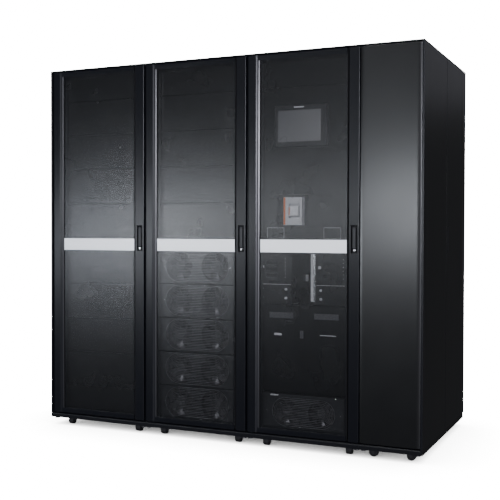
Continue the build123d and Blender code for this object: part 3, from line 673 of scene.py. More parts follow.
class Form:
    """The mesh of one piece, put together from blocks, turned profiles and wires."""

    def __init__(self, name: str) -> None:
        """Starts an empty mesh.

        Args:
            name: the piece's name.
        """
        self.name = name
        self.mesh = bmesh.new()

    def vertex(self, point: Vector) -> bmesh.types.BMVert:
        """Adds a vertex."""
        return self.mesh.verts.new(point)

    def face(self, *corners: bmesh.types.BMVert) -> None:
        """Adds a face."""
        self.mesh.faces.new(corners)

    def block(self, low: tuple | Vector, high: tuple | Vector, edge: float = 0.3 * MM) -> None:
        """Adds an upright block with bevelled edges.

        Args:
            low: its lowest corner.
            high: its highest corner.
            edge: the width of the bevels.
        """
        low, high = Vector(low), Vector(high)
        middle, half = (low + high) / 2, (high - low) / 2
        edge = min(edge, 0.45 * min(half))
        corners = {}
        for signs in product((-1, 1), repeat=3):
            for flat in range(3):
                inset = [0.0 if axis == flat else edge for axis in range(3)]
                point = Vector([signs[a] * (half[a] - inset[a]) for a in range(3)])
                corners[signs, flat] = self.vertex(middle + point)
        for flat in range(3):
            second, third = (flat + 1) % 3, (flat + 2) % 3
            for sign in (-1, 1):
                ring = []
                for b, c in ((-1, -1), (1, -1), (1, 1), (-1, 1)):
                    signs = [0, 0, 0]
                    signs[flat], signs[second], signs[third] = sign, b, c
                    ring.append(corners[tuple(signs), flat])
                self.face(*ring)
            for b, c in product((-1, 1), repeat=2):
                ends = []
                for sign in (-1, 1):
                    signs = [0, 0, 0]
                    signs[flat], signs[second], signs[third] = sign, b, c
                    ends.append(tuple(signs))
                near, far = ends
                order = ((near, second), (near, third), (far, third), (far, second))
                self.face(*(corners[key] for key in order))
        for signs in product((-1, 1), repeat=3):
            self.face(*(corners[signs, flat] for flat in range(3)))

    def ring(self, points: list[Vector]) -> list[bmesh.types.BMVert]:
        """Adds a ring of vertices."""
        return [self.vertex(point) for point in points]

    def bridge(self, first: list[bmesh.types.BMVert], second: list[bmesh.types.BMVert]) -> None:
        """Joins two rings with faces. A ring of one vertex is a tip.

        Args:
            first: a ring.
            second: the next ring, as long as the first unless one of them is a tip.
        """
        count = max(len(first), len(second))
        for n in range(count):
            after = (n + 1) % count
            corners = []
            for corner in (
                first[n % len(first)],
                first[after % len(first)],
                second[after % len(second)],
                second[n % len(second)],
            ):
                if corner not in corners:
                    corners.append(corner)
            self.face(*corners)

    def turned(
        self,
        profile: list[tuple[float, float]],
        foot: Vector,
        axis: Vector,
        sides: int = 20,
        closed: bool = False,
    ) -> None:
        """Adds a turned profile.

        Args:
            profile: pairs of a radius and a height along the axis.
            foot: the point on the axis where heights start.
            axis: the direction in which heights grow.
            sides: how many flats go round it.
            closed: whether the last pair joins the first, as on a hoop.
        """
        turn = axis.to_track_quat("Z", "Y")
        rings = []
        for radius, height in profile:
            angles = [0.0] if radius < 1e-7 else [math.tau * n / sides for n in range(sides)]
            local = [Vector((radius * math.cos(a), radius * math.sin(a), height)) for a in angles]
            rings.append(self.ring([foot + turn @ point for point in local]))
        for first, second in zip(rings, rings[1:] + rings[:1] if closed else rings[1:]):
            self.bridge(first, second)

    def wire(
        self, path: list[Vector], radius: float, normal: Vector, sides: int = 6, closed: bool = True
    ) -> None:
        """Adds a round wire along a flat path.

        Args:
            path: the points that it follows.
            radius: its radius.
            normal: the direction square to the path's plane.
            sides: how many flats go round it.
            closed: whether its ends meet.
        """
        rings = []
        for n, point in enumerate(path):
            before = path[n - 1] if closed or n > 0 else point
            after = path[(n + 1) % len(path)] if closed or n < len(path) - 1 else point
            across = (after - before).normalized().cross(normal)
            angles = [math.tau * k / sides for k in range(sides)]
            offsets = [radius * (math.cos(a) * across + math.sin(a) * normal) for a in angles]
            rings.append(self.ring([point + offset for offset in offsets]))
        for first, second in zip(rings, rings[1:] + rings[:1] if closed else rings[1:]):
            self.bridge(first, second)
        if not closed:
            self.face(*rings[0])
            self.face(*reversed(rings[-1]))

    def loft(self, sections: list[list[Vector]]) -> None:
        """Adds a skin through closed sections, with flat ends.

        Args:
            sections: rings of points, all as long as each other.
        """
        rings = [self.ring(section) for section in sections]
        for first, second in zip(rings, rings[1:]):
            self.bridge(first, second)
        self.face(*rings[0])
        self.face(*reversed(rings[-1]))

    def finish(self, coat: Finish, slot: str, *replaced: str, body: str = Body.CABINETS.value) -> None:
        """Makes the piece, gives it its finish and lets it ride on a body.

        Args:
            coat: the finish of its surface.
            slot: the record's material slot that it belongs to; not used.
            replaced: nodes of the frame that it stands for.
            body: the name of the body that it rides on.
        """
        bmesh.ops.recalc_face_normals(self.mesh, faces=self.mesh.faces)
        data = bpy.data.meshes.new(self.name)
        self.mesh.to_mesh(data)
        self.mesh.free()
        data.materials.append(coat.material())
        piece = bpy.data.objects.new(self.name, data)
        bpy.context.scene.collection.objects.link(piece)
        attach(piece, body)
        if replaced:
            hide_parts(*replaced)
        shading.smooth(piece)
        log.info("%s: %d faces, rides on %s", self.name, len(data.polygons), body)


@dataclass
class Screw:
    """A low machine screw with a socket in its head."""

    radius: float = 4.0 * MM
    height: float = 2.4 * MM
    sides: int = 16

    def add(self, form: Form, seat: Vector, axis: Vector = FRONTWARDS) -> None:
        """Adds one screw to a form.

        Args:
            form: the form.
            seat: where the head sits.
            axis: the direction that the head faces.
        """
        r, h = self.radius, self.height
        profile = [
            (0.0, 0.35 * h),
            (0.42 * r, 0.35 * h),
            (0.5 * r, h),
            (0.82 * r, h),
            (r, 0.7 * h),
            (r, 0.0),
        ]
        form.turned(profile, seat, axis, self.sides)


@dataclass
class ThumbScrew:
    """A captive screw with a grooved head that fingers turn."""

    radius: float = 5.5 * MM
    height: float = 9.0 * MM
    sides: int = 28
    groove: float = 0.35 * MM

    def add(self, form: Form, seat: Vector) -> None:
        """Adds one screw that faces the front.

        Args:
            form: the form.
            seat: where its collar sits.
        """
        r, h = self.radius, self.height
        form.turned([(0.0, 0.2 * h), (1.15 * r, 0.2 * h), (1.2 * r, 0.0)], seat, FRONTWARDS, self.sides)
        rings = []
        for height, inset in ((0.2 * h, 0.0), (0.85 * h, 0.0), (h, 0.1)):
            points = []
            for n in range(2 * self.sides):
                angle = math.pi * n / self.sides
                reach = r * (1 - inset) - (self.groove if n % 2 else 0.0)
                x, z = reach * math.cos(angle), reach * math.sin(angle)
                points.append(seat + Vector((x, -height, z)))
            rings.append(form.ring(points))
        for first, second in zip(rings, rings[1:]):
            form.bridge(first, second)
        tip = form.ring([seat + Vector((0.0, -h, 0.0))])
        form.bridge(rings[-1], tip)


class FrameDress:
    """Gives every node of the frame its finish and soft edges."""

    coats = {
        "base_frames": Palette.frame,
        "frame_posts": Palette.frame,
        "roof_panels": Palette.frame,
        "cable_entry_plates": Palette.frame,
        "rear_panel_rims": Palette.frame,
        "rear_sheets": Palette.rear_mesh,
        "side_panels": Palette.side,
        "side_pull": Palette.handle,
        "side_front_panel": Palette.panel,
        "castor_forks": Palette.castor,
        "castor_wheels": Palette.tread,
        "levelling_feet": Palette.castor,
        "battery_covers": Palette.plate,
        "blank_covers": Palette.plate,
        "power_modules": Palette.module,
        "bypass_module": Palette.module,
        "fan_guards": Palette.guard,
        "io_plates": Palette.bay_plate,
        "display_unit": Palette.bezel,
        "breaker": Palette.breaker,
        "breaker_toggle": Palette.toggle,
        "control_bay": Palette.bay_plate,
        "control_units": Palette.bay_plate,
        "bay_rail": Palette.bright,
        "connection_cover": Palette.bay_plate,
    }
    kinds = {
        "door_frame": Palette.door,
        "door_mesh": Palette.mesh,
        "door_band": Palette.band,
        "handle_cup": Palette.handle,
        "handle_lever": Palette.lever,
    }
    edge_widths = {
        "door_frame": 1.0 * MM,
        "door_band": 0.5 * MM,
        "side_front_panel": 1.2 * MM,
        "side_panels": 0.5 * MM,
        "roof_panels": 0.8 * MM,
        "base_frames": 0.8 * MM,
        "handle_lever": 0.6 * MM,
        "handle_cup": 0.4 * MM,
        "display_unit": 0.6 * MM,
        "breaker": 0.5 * MM,
        "breaker_toggle": 0.5 * MM,
        "rear_panel_rims": 0.6 * MM,
        "battery_covers": 1.4 * MM,
        "blank_covers": 1.4 * MM,
        "control_units": 0.4 * MM,
        "connection_cover": 0.4 * MM,
        "io_plates": 0.4 * MM,
    }

    def apply(self) -> None:
        """Dresses all the nodes."""
        screen = extent("display_screen")
        glass = DisplayGlass(
            "display_glass",
            (0.07, 0.072, 0.078),
            left=screen.low.x,
            bottom=screen.low.z,
            width=screen.size.x,
            height=screen.size.z,
        )
        for name, node in frame["nodes"].items():
            kind = next((kind for kind in self.kinds if name.endswith(kind)), None)
            finish = self.kinds[kind] if kind else self.coats.get(name, Palette.fan)
            if name == "display_screen":
                finish = glass
            node.data.materials.clear()
            node.data.materials.append(finish.material())
            width = self.edge_widths.get(kind or name)
            shading.weld(node)
            if width:
                shading.round_edges(node, width)
            shading.smooth(node)
            if width:
                shading.flatten(node)
            log.info("%s: dressed in %s", name, finish.name)


@dataclass
class DoorTrim:
    """What is fixed to a door: its lock, its gasket, two black strips of painted shade by its sheet,
    and the lever's ribs.
    """

    cabinet: Cabinet
    lock_radius: float = 5.6 * MM
    lock_rise: float = 14.0 * MM
    lock_proud: float = 3.6 * MM
    gasket_inset: float = 9.0 * MM
    gasket_width: float = 9.0 * MM
    gasket_depth: float = 3.0 * MM
    shade_strip_width: float = 4.0 * MM
    shade_strip_end: float = 1.0 * MM
    shade_strip_setback: float = 1.5 * MM
    shade_strip_floor: float = 4.0 * MM
    edge_shade_width: float = 5.5 * MM
    edge_shade_rise: float = 2.6 * MM
    rib_count: int = 4
    rib_pitch: float = 5.0 * MM
    rib_height: float = 0.5 * MM
    rib_width: float = 1.4 * MM
    rib_margin: float = 3.0 * MM

    def build(self) -> None:
        """Makes all the trim of the door."""
        self.lock()
        self.gasket()
        self.slot_shade_strip()
        self.sheet_edge_shade_strip()
        self.lever_ribs()

    def lock(self) -> None:
        """The bright round lock at the foot of the handle, with its key slot."""
        cup = extent(f"{self.cabinet.value}_handle_cup")
        r = self.lock_radius
        foot = Vector((cup.middle.x, cup.low.y + self.lock_proud, cup.low.z + self.lock_rise))
        form = Form(f"{self.cabinet.value}_door_lock")
        profile = [(0.0, 1.2 * MM), (0.7 * r, 1.2 * MM), (0.8 * r, 1.6 * MM), (r, 1.2 * MM), (r, 0.0)]
        form.turned(profile, foot, FRONTWARDS, 32)
        form.finish(Palette.bright, "rail_steel", body=self.cabinet.door)
        slot = Form(f"{self.cabinet.value}_key_slot")
        half = Vector((0.6 * MM, 0.0, 2.6 * MM))
        face = foot + FRONTWARDS * 1.3 * MM
        slot.block(face - half, face + half + Vector((0.0, 0.3 * MM, 0.0)), 0.1 * MM)
        slot.finish(Palette.handle, "handle_black", body=self.cabinet.door)

    def gasket(self) -> None:
        """The foam strip round the back of the door."""
        door = extent(f"{self.cabinet.value}_door_frame")
        form = Form(f"{self.cabinet.value}_door_gasket")
        back = door.high.y
        inset, wide = self.gasket_inset, self.gasket_width
        x0, x1 = door.low.x + inset, door.high.x - inset
        z0, z1 = door.low.z + inset, door.high.z - inset
        deep = back + self.gasket_depth
        edge = 1.0 * MM
        form.block((x0, back, z0), (x0 + wide, deep, z1), edge)
        form.block((x1 - wide, back, z0), (x1, deep, z1), edge)
        form.block((x0 + wide, back, z0), (x1 - wide, deep, z0 + wide), edge)
        form.block((x0 + wide, back, z1 - wide), (x1 - wide, deep, z1), edge)
        form.finish(Palette.gasket, "wheel_black", body=self.cabinet.door)

    def slot_shade_strip(self) -> None:
        """A black strip down the side of the slot between the sheet and the lock stile: painted shade
        for the slot's shadowed floor.
        """
        door = extent(f"{self.cabinet.value}_door_frame")
        sheet = extent(f"{self.cabinet.value}_door_mesh")
        form = Form(f"{self.cabinet.value}_slot_shade_strip")
        right, end = sheet.high.x, self.shade_strip_end
        low = (right, sheet.low.y + self.shade_strip_setback, door.low.z + end)
        high = (right + self.shade_strip_width, door.high.y - self.shade_strip_floor, door.high.z - end)
        form.block(low, high, 0.5 * MM)
        form.finish(Palette.gasket, "wheel_black", body=self.cabinet.door)

    def sheet_edge_shade_strip(self) -> None:
        """A black bead between the slanted reveal and the sheet: painted shade for the dark gap at the
        sheet's edge.
        """
        door = extent(f"{self.cabinet.value}_door_frame")
        sheet = extent(f"{self.cabinet.value}_door_mesh")
        form = Form(f"{self.cabinet.value}_sheet_edge_shade_strip")
        left, end = sheet.low.x - self.edge_shade_width, self.shade_strip_end
        low = (left, sheet.low.y - self.edge_shade_rise, door.low.z + end)
        high = (sheet.low.x, sheet.low.y + 0.4 * MM, door.high.z - end)
        form.block(low, high, 0.6 * MM)
        form.finish(Palette.gasket, "wheel_black", body=self.cabinet.door)

    def lever_ribs(self) -> None:
        """Low ribs across the free end of the lever."""
        lever = extent(f"{self.cabinet.value}_handle_lever")
        form = Form(f"{self.cabinet.value}_lever_ribs")
        x0, x1 = lever.low.x + self.rib_margin, lever.high.x - self.rib_margin
        for n in range(self.rib_count):
            z = lever.low.z + 2 * self.rib_pitch + n * self.rib_pitch
            low = (x0, lever.low.y - self.rib_height, z)
            high = (x1, lever.low.y + self.rib_height, z + self.rib_width)
            form.block(low, high, 0.35 * MM)
        form.finish(Palette.lever, "lever_black", body=self.cabinet.handle)


@dataclass
class Carcass:
    """Fasteners of the roof, the rear panels and the front plates."""

    plate_bolt_inset: float = 12.0 * MM
    rear_bolt_inset: float = 16.0 * MM
    rear_bolt_rows: int = 5
    cover_screw_inset: float = 14.0 * MM

    def build(self) -> None:
        """Makes all the fasteners."""
        self.roof_bolts()
        self.rear_bolts()
        self.cover_screws()

    def roof_bolts(self) -> None:
        """Low bolts round each cable plate on the roof."""
        form = Form("cable_plate_bolts")
        bolt = Screw(radius=4.5 * MM, height=1.2 * MM)
        inset = self.plate_bolt_inset
        for plate in solids("cable_entry_plates"):
            for x in (plate.low.x + inset, plate.middle.x, plate.high.x - inset):
                for y in (plate.low.y + inset, plate.high.y - inset):
                    bolt.add(form, Vector((x, y, plate.high.z)), UPWARDS)
        form.finish(Palette.zinc, "rail_steel")

    def rear_bolts(self) -> None:
        """Flush screws down both edges of each rear panel."""
        form = Form("rear_panel_screws")
        screw = Screw(radius=4.5 * MM, height=0.8 * MM)
        for rim in solids("rear_panel_rims"):
            for x in (rim.low.x + self.rear_bolt_inset, rim.high.x - self.rear_bolt_inset):
                for n in range(self.rear_bolt_rows):
                    share = (n + 0.5) / self.rear_bolt_rows
                    z = rim.low.z + share * rim.size.z
                    screw.add(form, Vector((x, rim.high.y - 0.1 * MM, z)), REARWARDS)
        form.finish(Palette.frame, "frame_black")

    def cover_screws(self) -> None:
        """Screws in the corners of each plate of the battery and power cabinets."""
        form = Form("cover_screws")
        screw = Screw()
        inset = self.cover_screw_inset
        for node in ("battery_covers", "blank_covers"):
            for plate in solids(node):
                rows = (plate.low.z + inset, plate.high.z - inset)
                if plate.size.z < 4 * inset:
                    rows = (plate.middle.z,)
                for x in (plate.low.x + inset, plate.high.x - inset):
                    for z in rows:
                        screw.add(form, Vector((x, plate.low.y + FIELD_RISE, z)))
        form.finish(Palette.plate, "plate_black")


@dataclass
class FanModule:
    """One module's fine parts: its guard, its top seam, and the shrouds and motors of its fans."""

    box: Extent
    plate_front: float
    scale: float
    spacing: float
    fan_height: float
    seam_height: float = 4.5 * MM
    seam_proud: float = 0.4 * MM
    seam_sunk: float = 1.0 * MM
    wire_radius: float = 1.1 * MM
    wire_pitch: float = 8.5 * MM
    guard_radius: float = 82.0 * MM
    guard_depth: float = 3.0 * MM
    well_radius: float = 78.0 * MM
    well_depth: float = 52.0 * MM
    end_steps: int = 14
    motor_radius: float = 26.0 * MM
    motor_depth: float = 12.0 * MM
    strut_count: int = 4
    strut_radius: float = 2.4 * MM

    @property
    def fans(self) -> list[Vector]:
        """The middle of each fan on the plate's face."""
        return [
            Vector((self.box.middle.x + side * self.spacing / 2, self.plate_front, self.fan_height))
            for side in (-1, 1)
        ]

    def oval(self, radius: float, y: float) -> list[Vector]:
        """A path round both fans.

        Args:
            radius: the radius of its ends.
            y: its depth.

        Returns:
            The points of the closed path.
        """
        points = []
        for side in (1, -1):
            for n in range(self.end_steps + 1):
                angle = side * math.pi / 2 - math.pi * n / self.end_steps
                x = self.box.middle.x + side * self.spacing / 2 + radius * math.cos(angle)
                points.append(Vector((x, y, self.fan_height + radius * math.sin(angle))))
        return points

    def guard(self, wires: Form, bars: Form) -> None:
        """Adds nested oval wires on upright bars.

        Args:
            wires: the form of all wires.
            bars: the form of all bars.
        """
        outer = self.guard_radius * self.scale - self.wire_radius
        bar = 1.2 * self.wire_radius
        wire_y = self.plate_front - self.guard_depth + self.wire_radius
        radius = outer
        while radius > self.wire_pitch / 3:
            wires.wire(self.oval(radius, wire_y), self.wire_radius, REARWARDS)
            radius -= self.wire_pitch
        rise = Vector((0.0, 0.0, outer))
        for fan in self.fans:
            centre = fan + FRONTWARDS * (bar + 0.1 * MM)
            bars.wire([centre - rise, centre + rise], bar, REARWARDS, closed=False)

    def seam(self, form: Form) -> None:
        """Adds a black strip along the top edge of the module's face: painted shade for the dark gap
        above it.
        """
        top = self.box.high.z
        low = (self.box.low.x, self.plate_front - self.seam_proud, top - self.seam_height)
        high = (self.box.high.x, self.plate_front + self.seam_sunk, top)
        form.block(low, high, 0.15 * MM)

    def shrouds(self, form: Form) -> None:
        """Adds a bell-mouthed ring in each well, with a motor on struts at its back."""
        r = self.well_radius * self.scale
        back = self.well_depth
        for fan in self.fans:
            ring = [
                (r - 0.4 * MM, 0.3 * MM),
                (r - 2.0 * MM, 2.5 * MM),
                (r - 3.0 * MM, 6.0 * MM),
                (r - 3.0 * MM, back - 1.0 * MM),
                (r - 0.2 * MM, back - 1.0 * MM),
            ]
            form.turned(ring, fan, REARWARDS, 48, closed=True)
            motor = self.motor_radius * self.scale
            cap = back - self.motor_depth
            base = [(0.0, cap), (motor - 2 * MM, cap), (motor, cap + 2 * MM)]
            form.turned([*base, (motor, back - 0.5 * MM)], fan, REARWARDS, 32)
            for n in range(self.strut_count):
                angle = math.tau * (n + 0.5) / self.strut_count
                out = Vector((math.cos(angle), 0.0, math.sin(angle)))
                root = fan + REARWARDS * (back - self.motor_depth / 2)
                ends = [root + out * (motor - 1 * MM), root + out * (r - 2 * MM)]
                form.wire(ends, self.strut_radius, REARWARDS, closed=False)


class ModuleStack:
    """The power modules and the bypass module with all that is fine about them."""

    side_screw_reach = 196.0 * MM
    top_screw_inset = 7.0 * MM
    top_screw_places = (-50.0 * MM, 45.0 * MM, 177.0 * MM)
    pull_reach = 224.0 * MM
    pull_half_height = 26.0 * MM
    pull_half_width = 3.0 * MM
    pull_depth = 9.0 * MM
    pull_thickness = 3.0 * MM
    bypass_spacing = 190.0 * MM
    module_spacing = 210.0 * MM
    bypass_scale = 0.88
    bypass_rise = 90.0 * MM

    def modules(self) -> list[FanModule]:
        """Every module with fans, from the frame."""
        made = []
        for box in solids("power_modules"):
            made.append(FanModule(box, box.low.y, 1.0, self.module_spacing, box.middle.z))
        box = extent("bypass_module")
        rise = box.low.z + self.bypass_rise
        made.append(FanModule(box, box.low.y, self.bypass_scale, self.bypass_spacing, rise))
        return made

    def build(self) -> None:
        """Makes the guards, seams, shrouds, screws and pulls of all the modules."""
        guards = Form("oval_guards")
        bars = Form("guard_bars")
        seams = Form("module_gap_shade_strips")
        shrouds = Form("fan_shrouds")
        screws = Form("module_screws")
        tabs = Form("module_tabs")
        screw = Screw(radius=3.6 * MM, height=2.2 * MM)
        for module in self.modules():
            module.guard(guards, bars)
            module.seam(seams)
            module.shrouds(shrouds)
            middle = Vector((module.box.middle.x, module.plate_front, module.box.middle.z))
            for side in (-1, 1):
                screw.add(screws, middle + Vector((side * self.side_screw_reach, 0.0, 0.0)))
                self.pull(tabs, middle, side)
            if module.scale == 1.0:
                rise = module.box.size.z / 2 - self.top_screw_inset
                for x in self.top_screw_places:
                    screw.add(screws, middle + Vector((x, 0.0, rise)))
            log.info("module at %.3f m: guard, seam, shrouds, screws and pulls", middle.z)
        guards.finish(Palette.guard, "guard_black", "fan_guards")
        bars.finish(Palette.shroud, "guard_black")
        seams.finish(Palette.gasket, "wheel_black")
        shrouds.finish(Palette.shroud, "fan_black")
        screws.finish(Palette.bright, "rail_steel")
        tabs.finish(Palette.strip, "plate_black")

    def pull(self, form: Form, middle: Vector, side: int) -> None:
        """Adds an upright pull at one end of a module.

        Args:
            form: the form.
            middle: the middle of the module's face.
            side: -1 for the left end, 1 for the right.
        """
        x, y = middle.x + side * self.pull_reach, middle.y
        x0, x1 = x - self.pull_half_width, x + self.pull_half_width
        z0, z1 = middle.z - self.pull_half_height, middle.z + self.pull_half_height
        front, thick = y - self.pull_depth, self.pull_thickness
        form.block((x0, front, z0), (x1, front + thick, z1), 0.8 * MM)
        for z in (z0, z1 - thick):
            form.block((x0, front + thick, z), (x1, y, z + thick), 0.5 * MM)


@dataclass
class FanRotor:
    """A fan's rotor: a domed hub and seven twisted, cambered blades."""

    number: int
    blade_count: int = 7
    stations: int = 9
    points: int = 9
    full_radius: float = 72.0 * MM
    hub_share: float = 28.0 / 72.0
    root_share: float = 0.96
    tip_share: float = 0.985
    root_chord: float = 26.0
    tip_chord: float = 40.0
    root_pitch: float = math.radians(44)
    tip_pitch: float = math.radians(25)
    sweep: float = math.radians(14)
    camber: float = 0.09
    thickness: float = 2.2 * MM

    def build(self) -> None:
        """Makes the rotor in place of the frame's plain one."""
        node = f"fan_{self.number}"
        box = extent(node)
        tip = max(box.size.x, box.size.z) / 2
        scale = tip / self.full_radius
        hub = tip * self.hub_share
        depth = box.size.y
        form = Form(f"fan_{self.number}_rotor")
        centre = box.middle
        front = Vector((centre.x, box.low.y, centre.z))
        dome = [
            (0.0, 0.6 * MM),
            (0.35 * hub, 0.6 * MM),
            (0.4 * hub, 0.0),
            (0.8 * hub, 0.2 * MM),
            (0.93 * hub, 1.2 * MM),
            (hub, 4.0 * MM),
            (hub, depth),
            (0.2 * hub, depth),
            (0.2 * hub, depth - 3 * MM),
            (0.0, depth - 3 * MM),
        ]
        form.turned(dome, front, REARWARDS, 40)
        for n in range(self.blade_count):
            form.loft(self.blade(centre, hub, tip, scale, math.tau * n / self.blade_count))
        form.finish(Palette.fan, "fan_black", node, body=f"fan_rotor_{self.number}")

    def blade(
        self, centre: Vector, hub: float, tip: float, scale: float, start: float
    ) -> list[list[Vector]]:
        """The sections of one blade.

        Args:
            centre: the middle of the rotor.
            hub: the hub's radius.
            tip: the radius at the blade's tip.
            scale: the rotor's size, where 1 is the larger one.
            start: the angle at which the blade stands.

        Returns:
            Rings of points from the root to the tip.
        """
        sections = []
        for n in range(self.stations):
            share = n / (self.stations - 1)
            root = hub * self.root_share
            radius = root + share * (tip * self.tip_share - root)
            chord = (self.root_chord + share * (self.tip_chord - self.root_chord)) * scale * MM
            pitch = self.root_pitch + share * (self.tip_pitch - self.root_pitch)
            lean = start + self.sweep * share * share
            ring = []
            for side, order in ((1, range(self.points)), (-1, range(self.points - 2, 0, -1))):
                for k in order:
                    along = k / (self.points - 1) - 0.5
                    arch = 1 - 4 * along * along
                    off = self.camber * chord * arch
                    off += side * self.thickness / 2 * math.sqrt(max(arch, 0.02))
                    across = along * chord * math.cos(pitch) - off * math.sin(pitch)
                    depth = along * chord * math.sin(pitch) + off * math.cos(pitch)
                    angle = lean + across / radius
                    x, z = radius * math.cos(angle), radius * math.sin(angle)
                    ring.append(centre + Vector((x, depth, z)))
            sections.append(ring)
        return sections


class InputOutputBay:
    """The fine parts of the input and output cabinet."""

    door_gap = 5.0 * MM
    corner_inset = 14.0 * MM
    tag_depth = 0.6 * MM
    tag_places = (
        ("display_unit", 0.0, (250, 303), (1710.5, 1716)),
        ("connection_cover", FIELD_RISE, (143, 183), (570, 581)),
        ("connection_cover", FIELD_RISE, (387, 471), (577.5, 580.5)),
        ("bypass_module", 0.0, (123, 165), (263, 269)),
    )
    signal_place = (469, 268)
    label_rows = (1059.0 * MM, 1113.0 * MM)
    label_spans = ((102.0 * MM, 194.0 * MM), (405.0 * MM, 493.0 * MM))
    label_wire = 1.2 * MM
    flute_pitch = 5.0 * MM
    flute_width = 2.2 * MM
    breaker_screw_places = (232, 268)
    breaker_screw_inset = 33.0 * MM
    latch_span = (282.0, 301.0)
    latch_rows = (560.0, 598.0)
    grip_places = (180.0, 420.0)
    grip_half = 64.0
    grip_rows = (657.0 * MM, 686.0 * MM)
    knob_middle = (-250.0 * MM, 851.0 * MM)
    knob_half = (9.0 * MM, 17.0 * MM)
    knob_reach = 11.0 * MM
    flange_width = 15.0 * MM
    thumb_screw_places = ((76, 803), (206, 803), (76, 759), (206, 759), (391, 802), (391, 758))
    control_step = 3.0 * MM
    seam_spans = ((62, 232), (368, 538))
    seam_rows = (826.5 * MM, 827.7 * MM)
    mark_bottom = 862
    light_places = (200, 506)
    light_count = 6
    light_pitch = 19
    socket_places = (96, 402)
    socket_count = 3
    socket_pitch = 32
    socket_size = (62, 19)
    control_tag_places = (70, 376)
    control_tag_rows = (908, 922)
    control_tag_width = 14

    def __init__(self) -> None:
        """Finds the cabinet's left edge from its door."""
        self.left = extent("io_door_frame").low.x - self.door_gap

    def x(self, local: float) -> float:
        """A place across the row from one across the cabinet, which is in millimetres."""
        return self.left + local * MM

    def build(self) -> None:
        """Makes every fine part of the bay."""
        self.tags()
        self.breaker_face()
        self.plate_screws()
        self.thumb_screws()
        self.control_faces()
        self.grips()
        self.knob()

    def tag(
        self, form: Form, span: tuple[float, float], rows: tuple[float, float], face: float
    ) -> None:
        """Adds a thin plate.

        Args:
            form: the form.
            span: its edges across the cabinet, in millimetres.
            rows: its lower and upper edge, in millimetres.
            face: the depth of what it sits on.
        """
        low = (self.x(span[0]), face - self.tag_depth, rows[0] * MM)
        high = (self.x(span[1]), face, rows[1] * MM)
        form.block(low, high, 0.2 * MM)

    def tags(self) -> None:
        """The bare tags on the display, the cover and the bypass module, and its status light."""
        form = Form("bare_tags")
        for node, step, span, rows in self.tag_places:
            self.tag(form, span, rows, extent(node).low.y + step)
        form.finish(Palette.tag, "toggle_grey")
        lights = Form("status_lights")
        across, rise = self.signal_place
        spot = Vector((self.x(across), extent("bypass_module").low.y, rise * MM))
        lights.turned([(0.0, 1.6 * MM), (1.6 * MM, 1.2 * MM), (2.4 * MM, 0.0)], spot, FRONTWARDS, 16)
        lights.finish(Palette.signal, "toggle_grey")

    def breaker_face(self) -> None:
        """The flutes, the orange strips and the screws of the breaker, and the frames under it."""
        case = extent("breaker")
        flutes = Form("breaker_flutes")
        face = case.low.y
        lower = (case.low.z + 4 * MM, case.low.z + 26 * MM)
        upper = (case.high.z - 30 * MM, case.high.z - 4 * MM)
        for z0, z1 in (lower, upper):
            x = case.low.x + 16 * MM
            while x < case.high.x - 6 * MM:
                end = (x + self.flute_width, face + 0.3 * MM, z1)
                flutes.block((x, face - 0.9 * MM, z0), end, 0.4 * MM)
                x += self.flute_pitch
        flutes.finish(Palette.breaker, "breaker_grey")
        strip = Form("breaker_strip")
        low = (case.low.x + 1.5 * MM, face - 0.5 * MM, case.low.z + 2 * MM)
        strip.block(low, (case.low.x + 11 * MM, face + 0.2 * MM, case.high.z - 2 * MM), 0.2 * MM)
        strip.finish(Palette.accent, "toggle_grey")
        marks = Form("breaker_screws")
        screw = Screw(radius=2.6 * MM, height=1.2 * MM)
        inset = self.breaker_screw_inset
        for x in self.breaker_screw_places:
            for z in (case.low.z + inset, case.high.z - inset):
                screw.add(marks, Vector((self.x(x), face, z)))
        marks.finish(Palette.bright, "rail_steel")
        paddle = extent("breaker_toggle")
        edge = Form("toggle_strip")
        corner, half = paddle.low, 20 * MM
        low = (corner.x + 0.5 * MM, corner.y - 0.4 * MM, paddle.middle.z - half)
        edge.block(low, (corner.x + 5 * MM, corner.y + 0.3 * MM, paddle.middle.z + half), 0.2 * MM)
        edge.finish(Palette.accent, "toggle_grey", body=Body.TOGGLE.value)
        self.label_frames()

    def label_frames(self) -> None:
        """Two thin empty frames on the plate under the breaker."""
        form = Form("label_frames")
        face = extent("io_plates").low.y + FIELD_RISE
        z0, z1 = self.label_rows
        wire = self.label_wire
        for x0, x1 in self.label_spans:
            x0, x1 = self.left + x0, self.left + x1
            y0 = face - 0.5 * MM
            form.block((x0, y0, z0), (x1, face, z0 + wire), 0.15 * MM)
            form.block((x0, y0, z1 - wire), (x1, face, z1), 0.15 * MM)
            form.block((x0, y0, z0 + wire), (x0 + wire, face, z1 - wire), 0.15 * MM)
            form.block((x1 - wire, y0, z0 + wire), (x1, face, z1 - wire), 0.15 * MM)
        form.finish(Palette.tag, "toggle_grey")

    def plate_screws(self) -> None:
        """The screws in the corners of the plates and of the cover."""
        form = Form("bay_screws")
        screw = Screw()
        inset = self.corner_inset
        cover = extent("connection_cover")
        face = cover.low.y + FIELD_RISE
        for box in (*solids("io_plates"), cover):
            for x in (box.low.x + inset, box.high.x - inset):
                for z in (box.low.z + inset, box.high.z - inset):
                    screw.add(form, Vector((x, face, z)))
            log.info("plate %.3f m high: screws in its corners", box.size.z)
        form.finish(Palette.bright, "rail_steel")

    def grips(self) -> None:
        """The paler faces on the lips of the cover's grips and on its latch."""
        form = Form("grip_faces")
        cover = extent("connection_cover")
        face = cover.low.y + FIELD_RISE
        for x in self.grip_places:
            left, right = (self.x(x + side * self.grip_half) for side in (-1, 1))
            lip = (left, face + 0.2 * MM, self.grip_rows[0])
            form.block(lip, (right, face + 1.2 * MM, self.grip_rows[1]), 0.3 * MM)
        self.tag(form, self.latch_span, self.latch_rows, cover.low.y)
        form.finish(Palette.strip, "plate_black")

